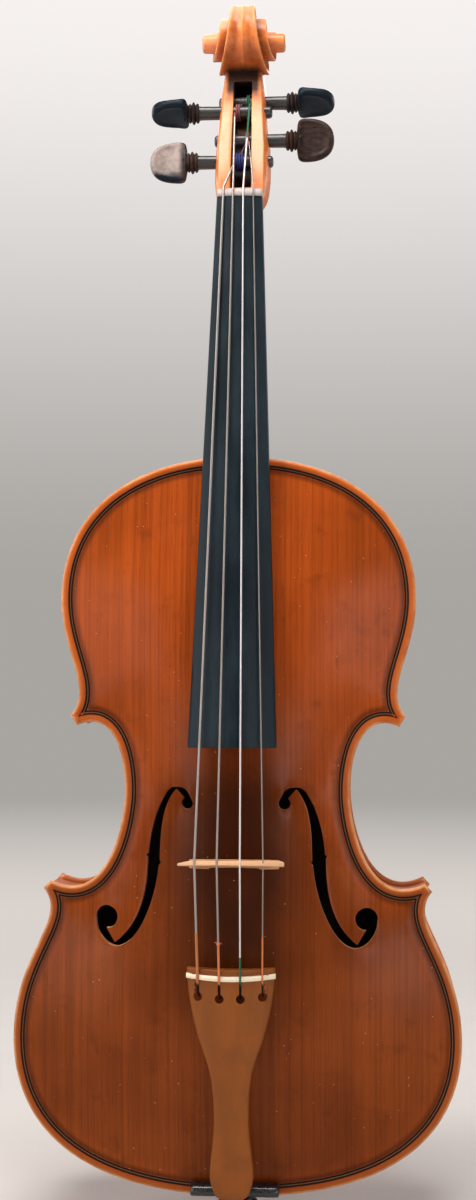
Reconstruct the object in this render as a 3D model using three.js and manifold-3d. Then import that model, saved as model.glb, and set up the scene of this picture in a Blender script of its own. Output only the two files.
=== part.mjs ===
// Viola with a 406 mm body, in millimetres. X runs across the strings, -Y towards the player's side
// of the strings and +Z from the end button to the scroll. The origin is on the flat end of the end button.
import * as THREE from "three";
import { mergeVertices } from "three/addons/utils/BufferGeometryUtils.js";
import Module from "manifold-3d";

const wasm = await Module();
wasm.setup();

// Driving sizes
const BODY_FOOT = 12.5; // height of the body's lower edge above the button's flat end
const BODY_LENGTH = 406;
const RIB_HALF = 19; // half the height of the ribs, front to back
const PLATE_EDGE = 4; // thickness of both plates at the edge
const TOP_RISE = 14; // rise of the arching above the plate's edge
const BACK_RISE = 11;
const PLATE_THICKNESS = 3; // in the middle
const GLUE_LINE = 0.05; // between pieces that are glued flat against each other
const RIB_INSET = 2.6; // overhang of the plates
const RIB_THICKNESS = 1.2;
const LINING_WIDTH = 2;
const LINING_HEIGHT = 8;
const PURFLING_INSET = 4;
const PURFLING_WIDTH = 2.4;
const PURFLING_DEPTH = 1.5;

const NUT_FOOT = 552.6; // heights above the body's lower edge from here on
const NUT_HEIGHT = 4.6;
const BOARD_END = 245.7;
const BOARD_HALF_AT_END = 23.9;
const BOARD_HALF_AT_NUT = 12.8;
const BOARD_RADIUS = 40;
const BOARD_SIDE = 5.4; // thickness of the fingerboard at its sides
const GLUE_SLOPE = 0.1095; // slope of the neck's glue face against the body
const GLUE_Y_AT_NUT = -14.3;
const BRIDGE_FOOT = 179.8;
const BRIDGE_HEIGHT = 36.5;
const BRIDGE_LEAN = 0.13; // radians towards the fingerboard
const STRING_SHIFT = -1; // the strings run 1 mm left of the middle
const EYE_Y = 15; // middle of the scroll's eye
const EYE_HEIGHT = 650.5;
const EYE_RADIUS = 5.3;
const EYE_HALF = 24.2;

const group = new THREE.Group();
group.name = "viola";
const up = (height) => BODY_FOOT + height;
const mix = (a, b, t) => a + (b - a) * t;

const colours = {
  spruce: [0xa8501c, 0.35, 0],
  maple: [0xb8622a, 0.35, 0],
  pale_wood: [0xd9b98c, 0.7, 0],
  ebony: [0x23262a, 0.45, 0],
  rosewood: [0x3a2a24, 0.4, 0],
  boxwood: [0x96572b, 0.4, 0],
  bone: [0xc9c4b8, 0.4, 0],
  white: [0xe4dcc4, 0.5, 0],
  purfling: [0x33281f, 0.6, 0],
  steel: [0xc8c8c6, 0.3, 0.9],
  nylon: [0x202020, 0.6, 0],
  silk: [0x6a2030, 0.8, 0],
};

// A closed three.js geometry as a solid with its faces turned outwards.
function solid(geometry) {
  const corners = geometry.index ? geometry.toNonIndexed() : geometry;
  const bare = new THREE.BufferGeometry().setAttribute("position", corners.getAttribute("position"));
  const merged = mergeVertices(bare, 1e-4);
  const make = () =>
    new wasm.Manifold(
      new wasm.Mesh({
        numProp: 3,
        vertProperties: merged.attributes.position.array,
        triVerts: new Uint32Array(merged.index.array),
      }),
    );
  const made = make();
  if (made.volume() > 0) return made;
  const index = merged.index.array;
  for (let i = 0; i < index.length; i += 3) [index[i + 1], index[i + 2]] = [index[i + 2], index[i + 1]];
  return make();
}

// Adds a solid to the group as a named mesh.
function place(name, made, look) {
  const mesh = made.getMesh();
  const points = new Float32Array(mesh.numVert * 3);
  for (let i = 0; i < mesh.numVert; i++) {
    points.set(mesh.vertProperties.subarray(i * mesh.numProp, i * mesh.numProp + 3), i * 3);
  }
  const geometry = new THREE.BufferGeometry();
  geometry.setAttribute("position", new THREE.BufferAttribute(points, 3));
  geometry.setIndex(new THREE.BufferAttribute(new Uint32Array(mesh.triVerts), 1));
  geometry.computeVertexNormals();
  const [color, roughness, metalness] = colours[look];
  const node = new THREE.Mesh(geometry, new THREE.MeshStandardMaterial({ color, roughness, metalness }));
  node.name = name;
  group.add(node);
}

const joined = (solids) => solids.reduce((all, next) => all.add(next));

// A shape drawn in X and height above the body's foot, extruded from the front face y0 to the back face y1.
function sheet(shape, y0, y1, curveSegments = 8) {
  const geometry = new THREE.ExtrudeGeometry(shape, { depth: y1 - y0, bevelEnabled: false, curveSegments });
  geometry.rotateX(Math.PI / 2).translate(0, y1, BODY_FOOT);
  return solid(geometry);
}

// A side view drawn in Y and height above the body's foot, extruded to both sides of the middle.
function profile(shape, half, curveSegments = 8) {
  const depth = 2 * half;
  const geometry = new THREE.ExtrudeGeometry(shape, { depth, bevelEnabled: false, curveSegments });
  const across = new THREE.Matrix4().makeBasis(
    new THREE.Vector3(0, 1, 0),
    new THREE.Vector3(0, 0, 1),
    new THREE.Vector3(1, 0, 0),
  );
  return solid(geometry.applyMatrix4(across).translate(-half, 0, BODY_FOOT));
}

// A solid through rings of points. Each end is closed by a strip between the ring's first and second half.
function loft(rings) {
  const corners = [];
  const count = rings[0].length;
  for (let k = 0; k + 1 < rings.length; k++) {
    for (let i = 0; i < count; i++) {
      const j = (i + 1) % count;
      corners.push(rings[k][i], rings[k][j], rings[k + 1][j]);
      corners.push(rings[k][i], rings[k + 1][j], rings[k + 1][i]);
    }
  }
  const first = rings[0];
  const last = rings[rings.length - 1];
  for (let i = 0, j = count - 1; i + 1 < j; i++, j--) {
    corners.push(first[i + 1], first[i], first[j], last[i], last[i + 1], last[j]);
    if (i + 2 < j) corners.push(first[j - 1], first[i + 1], first[j], last[i + 1], last[j - 1], last[j]);
  }
  return solid(new THREE.BufferGeometry().setFromPoints(corners));
}

// A turned solid around the X axis: profile points are [radius, distance along X].
function turned(points, segments) {
  const outline = points.map(([radius, along]) => new THREE.Vector2(radius, along));
  return solid(new THREE.LatheGeometry(outline, segments).rotateZ(-Math.PI / 2));
}

// Outline of the body: the right half from the middle of the lower edge to the middle of the upper edge.
const lowerBout = [
  [[0, 0], [93.7, 0], [123.4, 41.2], [123.4, 85]],
  [[123.4, 85], [123.4, 131.7], [92.8, 149.3], [107.2, 166.6]],
];
const middleBout = [
  [[103.2, 171], [72.1, 155.8], [62.2, 202], [62.2, 221]],
  [[62.2, 221], [62.2, 240.4], [69, 266.1], [89.2, 256.6]],
];
const upperBout = [
  [[92.9, 262.3], [79.9, 276.9], [98.5, 297.3], [98.5, 327]],
  [[98.5, 327], [98.5, 376.4], [59.5, BODY_LENGTH], [0, BODY_LENGTH]],
];

// Points along the two joined curves of a bout, moved inwards. They stand at the same shares of the run
// for every inset, so that neighbouring pieces have parallel facets. "from" and "to" count those steps.
const STEPS = 16;
function along(bout, inset, from = 0, to = STEPS) {
  const curves = bout.map((c) => new THREE.CubicBezierCurve(...c.map(([x, y]) => new THREE.Vector2(x, y))));
  const points = [];
  for (let i = from; i <= to; i++) {
    const t = (2 * i) / STEPS;
    const curve = curves[t < 1 ? 0 : 1];
    const u = t < 1 ? t : t - 1;
    const tangent = curve.getTangent(u);
    points.push(curve.getPoint(u).add(new THREE.Vector2(-tangent.y, tangent.x).multiplyScalar(inset)));
  }
  return points;
}

const mirrored = (points) => points.map((p) => new THREE.Vector2(-p.x, p.y)).reverse();

// Where two stretches cross, or nothing.
function crossing(a, b, c, d) {
  const ab = b.clone().sub(a);
  const cd = d.clone().sub(c);
  const area = ab.cross(cd);
  if (area === 0) return undefined;
  const ac = c.clone().sub(a);
  const s = ac.cross(cd) / area;
  const t = ac.cross(ab) / area;
  return s >= 0 && s <= 1 && t >= 0 && t <= 1 ? a.clone().addScaledVector(ab, s) : undefined;
}

// Joins two runs of points, and cuts off what lies beyond their crossing.
function mitred(first, second) {
  for (let i = 0; i + 1 < first.length; i++) {
    for (let j = second.length - 2; j >= 0; j--) {
      const corner = crossing(first[i], first[i + 1], second[j], second[j + 1]);
      if (corner) return [...first.slice(0, i + 1), corner, ...second.slice(j + 1)];
    }
  }
  return [...first, ...second];
}

// The whole outline moved inwards.
function outline(inset) {
  const runs = [lowerBout, middleBout, upperBout].map((bout) => along(bout, inset));
  const half = mitred(mitred(runs[0], runs[1]), runs[2]);
  return new THREE.Shape([...half, ...mirrored(half).slice(1, -1)]);
}

const edge = outline(0).getPoints();

// Distance inside the body's outline, zero outside.
function depthInside(x, height) {
  let best = Infinity;
  let inside = false;
  for (let i = 0; i < edge.length; i++) {
    const a = edge[i];
    const b = edge[(i + 1) % edge.length];
    const along = (x - a.x) * (b.x - a.x) + (height - a.y) * (b.y - a.y);
    const share = Math.min(1, Math.max(0, along / a.distanceToSquared(b)));
    best = Math.min(best, Math.hypot(x - mix(a.x, b.x, share), height - mix(a.y, b.y, share)));
    const crosses = a.y > height !== b.y > height;
    if (crosses && x < a.x + ((height - a.y) / (b.y - a.y)) * (b.x - a.x)) inside = !inside;
  }
  return inside ? best : 0;
}

// Share of the full rise at a point, for an arching that starts some way in from the edge.
function arching(x, height, start) {
  const waist = Math.cos(Math.min(1, Math.abs(height - 215) / 120) * Math.PI) * 0.5 + 0.5;
  const reach = mix(height < 215 ? 88 : 74, 54, waist);
  const share = Math.min(1, Math.max(0, depthInside(x, height) - start) / reach);
  const length = 1 - 0.2 * ((height - 205) / 203) ** 2;
  return length * (0.5 - 0.5 * Math.cos(Math.PI * share ** 0.75));
}

const outerSide = (rise) => (x, h) => RIB_HALF + PLATE_EDGE + rise * arching(x, h, 7);
const innerSide = (rise) => (x, h) => RIB_HALF + (rise + PLATE_EDGE - PLATE_THICKNESS) * arching(x, h, 14);

// A slab over the body's rectangle between two sides given as distances from the middle of the ribs;
// "side" is -1 for the front, 1 for the back.
const CELL = 18;
function slab(outerHeight, innerHeight, side) {
  const across = 15;
  const upwards = 24;
  const surface = (height) => {
    const rows = [];
    for (let j = 0; j <= upwards; j++) {
      const row = [];
      for (let i = 0; i <= across; i++) {
        const x = (i - across / 2) * CELL;
        const h = -7 + j * CELL;
        row.push(new THREE.Vector3(x, side * height(x, h), up(h)));
      }
      rows.push(row);
    }
    return rows;
  };
  const outer = surface(outerHeight);
  const inner = surface(innerHeight);
  const corners = [];
  const quad = (a, b, c, d) => corners.push(a, b, c, a, c, d);
  for (let j = 0; j < upwards; j++) {
    for (let i = 0; i < across; i++) {
      quad(outer[j][i], outer[j][i + 1], outer[j + 1][i + 1], outer[j + 1][i]);
      quad(inner[j][i], inner[j + 1][i], inner[j + 1][i + 1], inner[j][i + 1]);
    }
    quad(outer[j][0], outer[j + 1][0], inner[j + 1][0], inner[j][0]);
    quad(outer[j][across], inner[j][across], inner[j + 1][across], outer[j + 1][across]);
  }
  for (let i = 0; i < across; i++) {
    quad(outer[0][i], inner[0][i], inner[0][i + 1], outer[0][i + 1]);
    quad(outer[upwards][i], outer[upwards][i + 1], inner[upwards][i + 1], inner[upwards][i]);
  }
  return solid(new THREE.BufferGeometry().setFromPoints(corners));
}

// One f-hole on the right side; "side" -1 mirrors it to the left.
function soundHole(side) {
  const hole = new THREE.Shape();
  hole.moveTo(32.9, 222.3);
  hole.lineTo(29, 218);
  hole.absarc(26.6, 214.7, 3.3, 0.95, 2.6, true);
  hole.bezierCurveTo(25.5, 219.5, 28.5, 223.4, 32.8, 223.5);
  hole.bezierCurveTo(36.2, 223.6, 38.5, 221, 40, 217.8);
  hole.bezierCurveTo(44.6, 210, 48, 198, 48.6, 186.6);
  hole.lineTo(50, 185.7);
  hole.lineTo(49.1, 184.2);
  hole.bezierCurveTo(49.2, 170, 50.6, 150, 66.4, 138);
  hole.lineTo(71.1, 146);
  hole.absarc(71.4, 151.7, 6.2, -1.6, -0.25, true);
  hole.bezierCurveTo(77.2, 143, 72, 136.4, 64.9, 136.2);
  hole.bezierCurveTo(54.5, 137.4, 44.6, 157, 42.1, 181);
  hole.lineTo(40.8, 182.2);
  hole.lineTo(41.7, 183.4);
  hole.bezierCurveTo(41.4, 197, 41.2, 213, 32.9, 222.3);
  const points = hole.getPoints(4);
  const shape = new THREE.Shape(side > 0 ? points : mirrored(points));
  return sheet(shape, -60, 0);
}

const box = (x0, x1, y0, y1, h0, h1) =>
  solid(
    new THREE.BoxGeometry(x1 - x0, y1 - y0, h1 - h0).translate(
      (x0 + x1) / 2,
      (y0 + y1) / 2,
      up((h0 + h1) / 2),
    ),
  );

// Plates, and the purfling let into a groove of the top
const NECK_ROOT_HALF = 16.4;
const NECK_ROOT_FOOT = 399;
const neckMortise = box(-NECK_ROOT_HALF - 0.3, NECK_ROOT_HALF + 0.3, -60, 18.9, NECK_ROOT_FOOT - 0.3, 420);
const saddleSeat = box(-24.3, 24.3, -60, -18, -5, 7.8);

function purflingRing(y0, y1, slack) {
  const outer = sheet(outline(PURFLING_INSET - slack), y0, y1);
  return outer.subtract(sheet(outline(PURFLING_INSET + PURFLING_WIDTH + slack), y0 - 1, y1 + 1));
}

const topFace = -RIB_HALF - PLATE_EDGE;
const topPlate = slab(outerSide(TOP_RISE), innerSide(TOP_RISE), -1)
  .intersect(sheet(outline(0), -60, 0))
  .subtract(soundHole(1))
  .subtract(soundHole(-1))
  .subtract(purflingRing(-60, topFace + PURFLING_DEPTH + GLUE_LINE, GLUE_LINE))
  .subtract(neckMortise)
  .subtract(saddleSeat);
place("top_plate", topPlate, "spruce");
const topPurfling = purflingRing(topFace, topFace + PURFLING_DEPTH, 0)
  .subtract(neckMortise)
  .subtract(saddleSeat);
for (const piece of topPurfling.decompose()) {
  const sideName = piece.boundingBox().min[0] < -50 ? "left" : "right";
  place(`purfling_top_${sideName}`, piece, "purfling");
}

const button = new THREE.Shape();
button.moveTo(-12.5, BODY_LENGTH - 6);
button.lineTo(12.5, BODY_LENGTH - 6);
button.lineTo(12.2, BODY_LENGTH + 4);
button.absarc(0, BODY_LENGTH + 4, 12.2, 0, Math.PI, false);
const backPlate = slab(outerSide(BACK_RISE), innerSide(BACK_RISE), 1)
  .intersect(sheet(outline(0), 0, 60))
  .add(sheet(button, RIB_HALF, RIB_HALF + PLATE_EDGE));
place("back_plate", backPlate, "maple");

// Ribs, linings and blocks
const PIN_RADIUS = 4; // of the end button's shaft
const pinBore = new THREE.CylinderGeometry(PIN_RADIUS + 0.2, PIN_RADIUS + 0.2, 80, 20);
const pinHole = solid(pinBore.rotateX(Math.PI / 2));
const bouts = {
  lower: { curves: lowerBout, rib: [0, 15], lining: [3, 13] },
  middle: { curves: middleBout, rib: [1, 15], lining: [3, 12] },
  upper: { curves: upperBout, rib: [1, 14], lining: [3, 12] },
};

// A strip that follows a bout, between two insets.
function strip(curves, side, insets, span, y0, y1) {
  const points = [...along(curves, insets[0], ...span), ...along(curves, insets[1], ...span).reverse()];
  return sheet(new THREE.Shape(side > 0 ? points : mirrored(points)), y0, y1);
}

const ribInside = RIB_INSET + RIB_THICKNESS;
const liningStart = ribInside + 0.2;
const glued = RIB_HALF - GLUE_LINE;
const seam = box(-0.1, 0.1, -60, 60, -5, 60);
for (const [sideName, side] of [["left", -1], ["right", 1]]) {
  for (const [boutName, bout] of Object.entries(bouts)) {
    const rib = strip(bout.curves, side, [RIB_INSET, ribInside], bout.rib, -glued, glued);
    const fitted = rib.subtract(pinHole).subtract(seam).subtract(neckMortise);
    place(`rib_${boutName}_${sideName}`, fitted, "maple");
    const insets = [liningStart, liningStart + LINING_WIDTH];
    for (const [plate, y0] of [["top", -glued], ["back", glued - LINING_HEIGHT]]) {
      const lining = strip(bout.curves, side, insets, bout.lining, y0, y0 + LINING_HEIGHT);
      place(`lining_${plate}_${boutName}_${sideName}`, lining, "pale_wood");
    }
  }
}

for (const [sideName, side] of [["left", -1], ["right", 1]]) {
  const corners = {
    lower: mitred(along(lowerBout, liningStart, 14), along(middleBout, liningStart, 0, 2)),
    upper: mitred(along(middleBout, liningStart, 13), along(upperBout, liningStart, 0, 2)),
  };
  for (const [name, points] of Object.entries(corners)) {
    const block = sheet(new THREE.Shape(side > 0 ? points : mirrored(points)), -glued, glued);
    place(`block_${name}_${sideName}`, block, "pale_wood");
  }
}

const upperHalf = along(upperBout, liningStart, 14);
const upperBlock = new THREE.Shape([
  ...upperHalf,
  ...mirrored(upperHalf).slice(1),
  new THREE.Vector2(-upperHalf[0].x + 2, BODY_LENGTH - 30),
  new THREE.Vector2(upperHalf[0].x - 2, BODY_LENGTH - 30),
]);
place("upper_block", sheet(upperBlock, -glued, glued).subtract(neckMortise), "pale_wood");
const lowerHalf = along(lowerBout, liningStart, 0, 2);
const lowerBlock = new THREE.Shape([
  ...mirrored(lowerHalf),
  ...lowerHalf.slice(1),
  new THREE.Vector2(lowerHalf[2].x - 3, 25),
  new THREE.Vector2(-lowerHalf[2].x + 3, 25),
]);
place("lower_block", sheet(lowerBlock, -glued, glued).subtract(pinHole), "pale_wood");

// Bass bar and sound post, cut to the inside of the plates
const FIT = 0.3; // clearance of pieces cut to a neighbour
const topHollow = slab((x, h) => innerSide(TOP_RISE)(x, h) - FIT, () => 0, -1);
const backHollow = slab((x, h) => innerSide(BACK_RISE)(x, h) - FIT, () => 0, 1);
const BAR_X = -20;
const barRings = [];
for (let i = 0; i <= 8; i++) {
  const h = mix(75, 343, i / 8);
  const inside = -innerSide(TOP_RISE)(BAR_X, h) + 3.5 + 7.5 * Math.sin((Math.PI * i) / 8) ** 0.8;
  const corner = (x, y) => new THREE.Vector3(x, y, up(h));
  barRings.push([
    corner(BAR_X - 2.8, -50),
    corner(BAR_X + 2.8, -50),
    corner(BAR_X + 2.8, inside),
    corner(BAR_X - 2.8, inside),
  ]);
}
place("bass_bar", loft(barRings).intersect(topHollow), "pale_wood");
const post = new THREE.CylinderGeometry(3.1, 3.1, 90, 16).translate(20, 0, up(173));
place("sound_post", solid(post).intersect(topHollow.add(backHollow)), "pale_wood");

// Neck, pegbox and scroll
const glueY = (h) => GLUE_Y_AT_NUT - (NUT_FOOT - h) * GLUE_SLOPE;

// A D-shaped section of the neck, flat on the glue face.
function neckRing(h, half, depth) {
  const ring = [];
  for (let i = 0; i <= 8; i++) {
    const a = (Math.PI * i) / 8;
    ring.push(new THREE.Vector3(half * Math.cos(a), glueY(h) + depth * Math.sin(a), up(h)));
  }
  return ring;
}

const shaft = loft([
  neckRing(NUT_FOOT, 12.7, 13.6),
  neckRing(500, 14, 14.2),
  neckRing(440, 15.8, 16),
  neckRing(424, 16.3, 19),
]);

const heelSide = new THREE.Shape();
heelSide.moveTo(glueY(NECK_ROOT_FOOT), NECK_ROOT_FOOT);
heelSide.lineTo(RIB_HALF - 0.2, NECK_ROOT_FOOT);
heelSide.lineTo(RIB_HALF - 0.2, BODY_LENGTH + 14);
heelSide.bezierCurveTo(6, BODY_LENGTH + 14, -5, 424, -9, 444);
heelSide.lineTo(glueY(444), 444);
const heelPlan = new THREE.Shape();
heelPlan.moveTo(-NECK_ROOT_HALF, -45);
heelPlan.lineTo(NECK_ROOT_HALF, -45);
heelPlan.lineTo(NECK_ROOT_HALF, -18);
heelPlan.lineTo(11.5, RIB_HALF);
heelPlan.lineTo(-11.5, RIB_HALF);
heelPlan.lineTo(-NECK_ROOT_HALF, -18);
const heelTaper = new THREE.ExtrudeGeometry(heelPlan, { depth: 80, bevelEnabled: false });
const heel = profile(heelSide, 20).intersect(solid(heelTaper.translate(0, 0, up(390))));

// The pegbox: its cheeks bulge between the front edge and the back.
const pegboxFront = (h) => -13.8 + (h - NUT_FOOT) * 0.17 + (h - NUT_FOOT) ** 2 * 0.0017;
const pegboxBack = new THREE.CubicBezierCurve(
  new THREE.Vector2(-2, 540),
  new THREE.Vector2(16, 556),
  new THREE.Vector2(20, 590),
  new THREE.Vector2(EYE_Y + 22.6, EYE_HEIGHT - 7),
);
const pegboxRings = [];
for (let i = 0; i <= 6; i++) {
  const back = pegboxBack.getPoint(i / 6);
  const h = back.y;
  const front = h < NUT_FOOT ? glueY(h) + 0.2 : pegboxFront(Math.min(h, 632));
  const half = mix(13.6, 10, Math.max(0, (h - 585) / 60));
  const bulge = Math.min(1.6, Math.max(0, (h - NUT_FOOT) * 0.12)) * (h < 620 ? 1 : 0.3);
  const depth = back.x - front;
  const at = (x, share) => new THREE.Vector3(x, front + depth * share, up(h));
  const rightSide = [at(half - 0.6, 0), at(half + bulge, 0.45), at(half - 1, 0.9), at(half - 5, 1)];
  const leftSide = rightSide.map((p) => new THREE.Vector3(-p.x, p.y, p.z)).reverse();
  pegboxRings.push([...rightSide, ...leftSide]);
}
const pegboxBody = loft(pegboxRings);

const WELL_FOOT = 559.5;
const WELL_HEAD = 626;
const well = loft(
  [WELL_FOOT, 575, 590, 605, WELL_HEAD].map((h) => {
    const half = mix(6, 5.1, (h - WELL_FOOT) / (WELL_HEAD - WELL_FOOT));
    const floor = mix(5, 26, (h - WELL_FOOT) / (WELL_HEAD - WELL_FOOT));
    const corner = (x, y) => new THREE.Vector3(x, y, up(h));
    return [corner(-half, -40), corner(half, -40), corner(half - 0.4, floor), corner(-half + 0.4, floor)];
  }),
);

// The volute winds inwards from the back over the top; each wedge is as wide as the turn there.
const VOLUTE_TURNS = 2.25;
const voluteRadius = (turn) => 24 - 7.75 * turn;
const turnHalfWidths = [
  [0, 8.2],
  [0.25, 6.4],
  [0.5, 8.8],
  [0.75, 14.4],
  [1, 13.4],
  [1.25, 13],
  [1.5, 14.4],
  [1.75, 18.2],
  [2.25, 18.8],
];
function turnHalfWidth(turn) {
  const next = turnHalfWidths.findIndex(([t]) => t >= turn);
  if (next < 1) return turnHalfWidths[Math.max(0, next)][1];
  const [t0, w0] = turnHalfWidths[next - 1];
  const [t1, w1] = turnHalfWidths[next];
  return mix(w0, w1, (turn - t0) / (t1 - t0));
}

function voluteWedge(turn, step) {
  const rim = (t) => {
    const a = 2 * Math.PI * t;
    return [EYE_Y + voluteRadius(t) * Math.cos(a), EYE_HEIGHT + voluteRadius(t) * Math.sin(a)];
  };
  const across = 2 * Math.PI * (turn + step / 2);
  const wedge = new THREE.Shape();
  wedge.moveTo(EYE_Y - 3 * Math.cos(across), EYE_HEIGHT - 3 * Math.sin(across));
  wedge.lineTo(...rim(turn));
  wedge.lineTo(...rim(turn + step));
  return profile(wedge, turnHalfWidth(turn + step / 2));
}

const WEDGES_PER_TURN = 12.4; // not whole, so that the turns share no plane
const wedges = [];
for (let i = 0; i < VOLUTE_TURNS * WEDGES_PER_TURN; i++) {
  wedges.push(voluteWedge(i / WEDGES_PER_TURN, 1 / WEDGES_PER_TURN));
}
const eye = solid(
  new THREE.CylinderGeometry(EYE_RADIUS, EYE_RADIUS, 2 * EYE_HALF, 16)
    .rotateZ(Math.PI / 2)
    .translate(0, EYE_Y, up(EYE_HEIGHT)),
);

// Pegs: side of the head, height and Y of the axis, turn of the head, distance of the far tip from the
// middle, where the winding starts along X, how many loops it has and the radius of its string
const pegs = [
  { name: "c", side: -1, height: 577.2, y: 0, turn: -0.2, tip: 18, coil: -3.8, loops: 3, radius: 0.7 },
  { name: "g", side: -1, height: 607.5, y: 6.5, turn: 1.27, tip: 17, coil: -4.2, loops: 2.5, radius: 0.6 },
  { name: "d", side: 1, height: 614.8, y: 13, turn: 1.24, tip: 14.2, coil: 4.2, loops: 2, radius: 0.5 },
  { name: "a", side: 1, height: 590.3, y: 4, turn: 0.05, tip: 16, coil: 4, loops: 2, radius: 0.42 },
];
const PEG_TIP = 18; // where the taper of every peg starts
const pegRadius = (distance) => mix(3.4, 4, (distance + PEG_TIP) / (PEG_TIP + 28)); // taper 1 in 76 or so
const toPeg = (made, peg) => {
  const facing = peg.side > 0 ? made : made.mirror([1, 0, 0]);
  return facing.translate([0, peg.y, up(peg.height)]);
};
const pegHole = turned(
  [
    [0, -PEG_TIP - 5],
    [pegRadius(-PEG_TIP) + 0.3, -PEG_TIP - 5],
    [pegRadius(28) + 0.3, 28],
    [0, 28],
  ],
  14,
);

let neck = joined([shaft, heel, pegboxBody, eye, ...wedges]).subtract(well);
for (const peg of pegs) neck = neck.subtract(toPeg(pegHole, peg));
const nutSeat = box(-30, 30, -40, glueY(NUT_FOOT), NUT_FOOT - 0.05, NUT_FOOT + NUT_HEIGHT + 0.05);
neck = neck.subtract(nutSeat);

// Fingerboard with a cylindrical playing face, and the nut above it
function boardRing(h, shift) {
  const half = mix(BOARD_HALF_AT_END, BOARD_HALF_AT_NUT, (h - BOARD_END) / (NUT_FOOT - BOARD_END));
  const bottom = glueY(h) - GLUE_LINE;
  const ring = [half, -half].map((x) => new THREE.Vector3(x + shift, bottom, up(h)));
  for (let i = 0; i <= 8; i++) {
    const x = mix(-half, half, i / 8);
    const sag = Math.sqrt(BOARD_RADIUS ** 2 - x * x) - Math.sqrt(BOARD_RADIUS ** 2 - half * half);
    ring.push(new THREE.Vector3(x + shift, bottom - BOARD_SIDE - sag, up(h)));
  }
  return ring;
}
place("fingerboard", loft([boardRing(BOARD_END, -0.8), boardRing(NUT_FOOT - 0.1, 0)]), "ebony");

function nutRing(h, lower) {
  const half = BOARD_HALF_AT_NUT;
  const bottom = glueY(NUT_FOOT) - GLUE_LINE;
  const ring = [half, -half].map((x) => new THREE.Vector3(x, bottom, up(h)));
  for (let i = 0; i <= 8; i++) {
    const x = mix(-half, half, i / 8);
    ring.push(new THREE.Vector3(x, -22 + (x * x) / 90 + lower, up(h)));
  }
  return ring;
}
const stringAtNut = [-9, -3.5, 2.2, 7.8];
const stringAtBridge = [-19.3, -7.2, 5, 17];
let nut = loft([nutRing(NUT_FOOT, 0), nutRing(NUT_FOOT + 3, 0), nutRing(NUT_FOOT + NUT_HEIGHT, 1.6)]);

// Strings from the tailpiece over bridge and nut to just short of their windings
const CROWN_HEIGHT = BRIDGE_FOOT + BRIDGE_HEIGHT * BRIDGE_LEAN + 1.2;
const crownY = (x) => -72.9 + ((x - STRING_SHIFT) ** 2) / 88;
const FRET_HEIGHT = 124;
const fretY = (x) => -57.85 + ((x - STRING_SHIFT) ** 2) / 95;
const nutY = (x) => -22.3 + (x * x) / 90;
const stringAtFret = [-18.6, -6.9, 4.4, 16.1];
const keyholeHeight = [112.9, 112, 112, 113];
const DRUM = 3.75;

function stringRoute(i) {
  const peg = pegs[i];
  // The d string passes in front of the g peg on its way to its own.
  const g = pegs[1];
  const clear = DRUM + peg.radius + 0.55;
  const beforeG = [peg.coil - 0.3, g.y - clear, g.height + 0.2];
  const pastG = [peg.coil - 0.1, g.y - 0.71 * clear, g.height + 0.71 * clear];
  const overNextPeg = peg.name === "d" ? [beforeG, pastG] : [];
  return [
    [stringAtFret[i], fretY(stringAtFret[i]) + 9, keyholeHeight[i] - 2],
    [stringAtFret[i], fretY(stringAtFret[i]) + 3, keyholeHeight[i] + 1.5],
    [stringAtFret[i], fretY(stringAtFret[i]), FRET_HEIGHT],
    [stringAtBridge[i], crownY(stringAtBridge[i]), CROWN_HEIGHT],
    [stringAtNut[i], nutY(stringAtNut[i]), NUT_FOOT + 0.8],
    [stringAtNut[i], nutY(stringAtNut[i]) + 0.6, NUT_FOOT + NUT_HEIGHT + 0.6],
    ...overNextPeg,
    [peg.coil, peg.y - DRUM - 3 * peg.radius - 0.75, peg.height - peg.radius - 1.2],
  ].map(([x, y, height]) => new THREE.Vector3(x, y, up(height)));
}

// A round cord, straight between the points of its route, with its surface square to the heading at each.
function stringSolid(route, radius, sides = 8) {
  let sideways = new THREE.Vector3(1, 0, 0);
  return loft(
    route.map((p, k) => {
      const before = route[Math.max(0, k - 1)];
      const after = route[Math.min(route.length - 1, k + 1)];
      const heading = after.clone().sub(before).normalize();
      sideways = sideways.clone().addScaledVector(heading, -heading.dot(sideways)).normalize();
      const other = heading.clone().cross(sideways);
      const ring = [];
      for (let s = 0; s < sides; s++) {
        const a = (2 * Math.PI * s) / sides;
        const out = sideways.clone().multiplyScalar(Math.cos(a)).addScaledVector(other, Math.sin(a));
        ring.push(p.clone().addScaledVector(out, radius));
      }
      return ring;
    }),
  );
}
const strings = pegs.map((peg, i) => stringSolid(stringRoute(i), peg.radius));
const stringGrooves = joined(pegs.map((peg, i) => stringSolid(stringRoute(i), peg.radius + FIT)));
pegs.forEach((peg, i) => place(`string_${peg.name}`, strings[i], "steel"));
nut = nut.subtract(stringGrooves);
place("nut", nut, "bone");
place("neck_and_scroll", neck.subtract(stringGrooves), "maple");

// Windings: one cord wound on the plain drum of its peg
const STEPS_PER_LOOP = 24;
for (const peg of pegs) {
  const r = peg.radius;
  const pitch = 2 * r + 0.5;
  const drum = DRUM + r + 0.3;
  const points = [];
  const count = peg.loops * STEPS_PER_LOOP;
  const inwards = -Math.sign(peg.coil);
  for (let i = 0; i <= count; i++) {
    const a = (2 * Math.PI * i) / STEPS_PER_LOOP - Math.PI / 2;
    const x = peg.coil + (inwards * pitch * i) / STEPS_PER_LOOP;
    points.push(new THREE.Vector3(x, peg.y + drum * Math.cos(a), up(peg.height) + drum * Math.sin(a)));
  }
  let least = Infinity;
  for (let i = 0; i <= count; i++) {
    for (let j = i + STEPS_PER_LOOP / 2; j <= count; j++) {
      least = Math.min(least, points[i].distanceTo(points[j]) - 2 * r);
    }
  }
  console.log(`winding_${peg.name}: least gap to itself ${least.toFixed(2)} mm`);
  place(`winding_${peg.name}`, stringSolid(points, r, 6), "silk");
}

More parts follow.
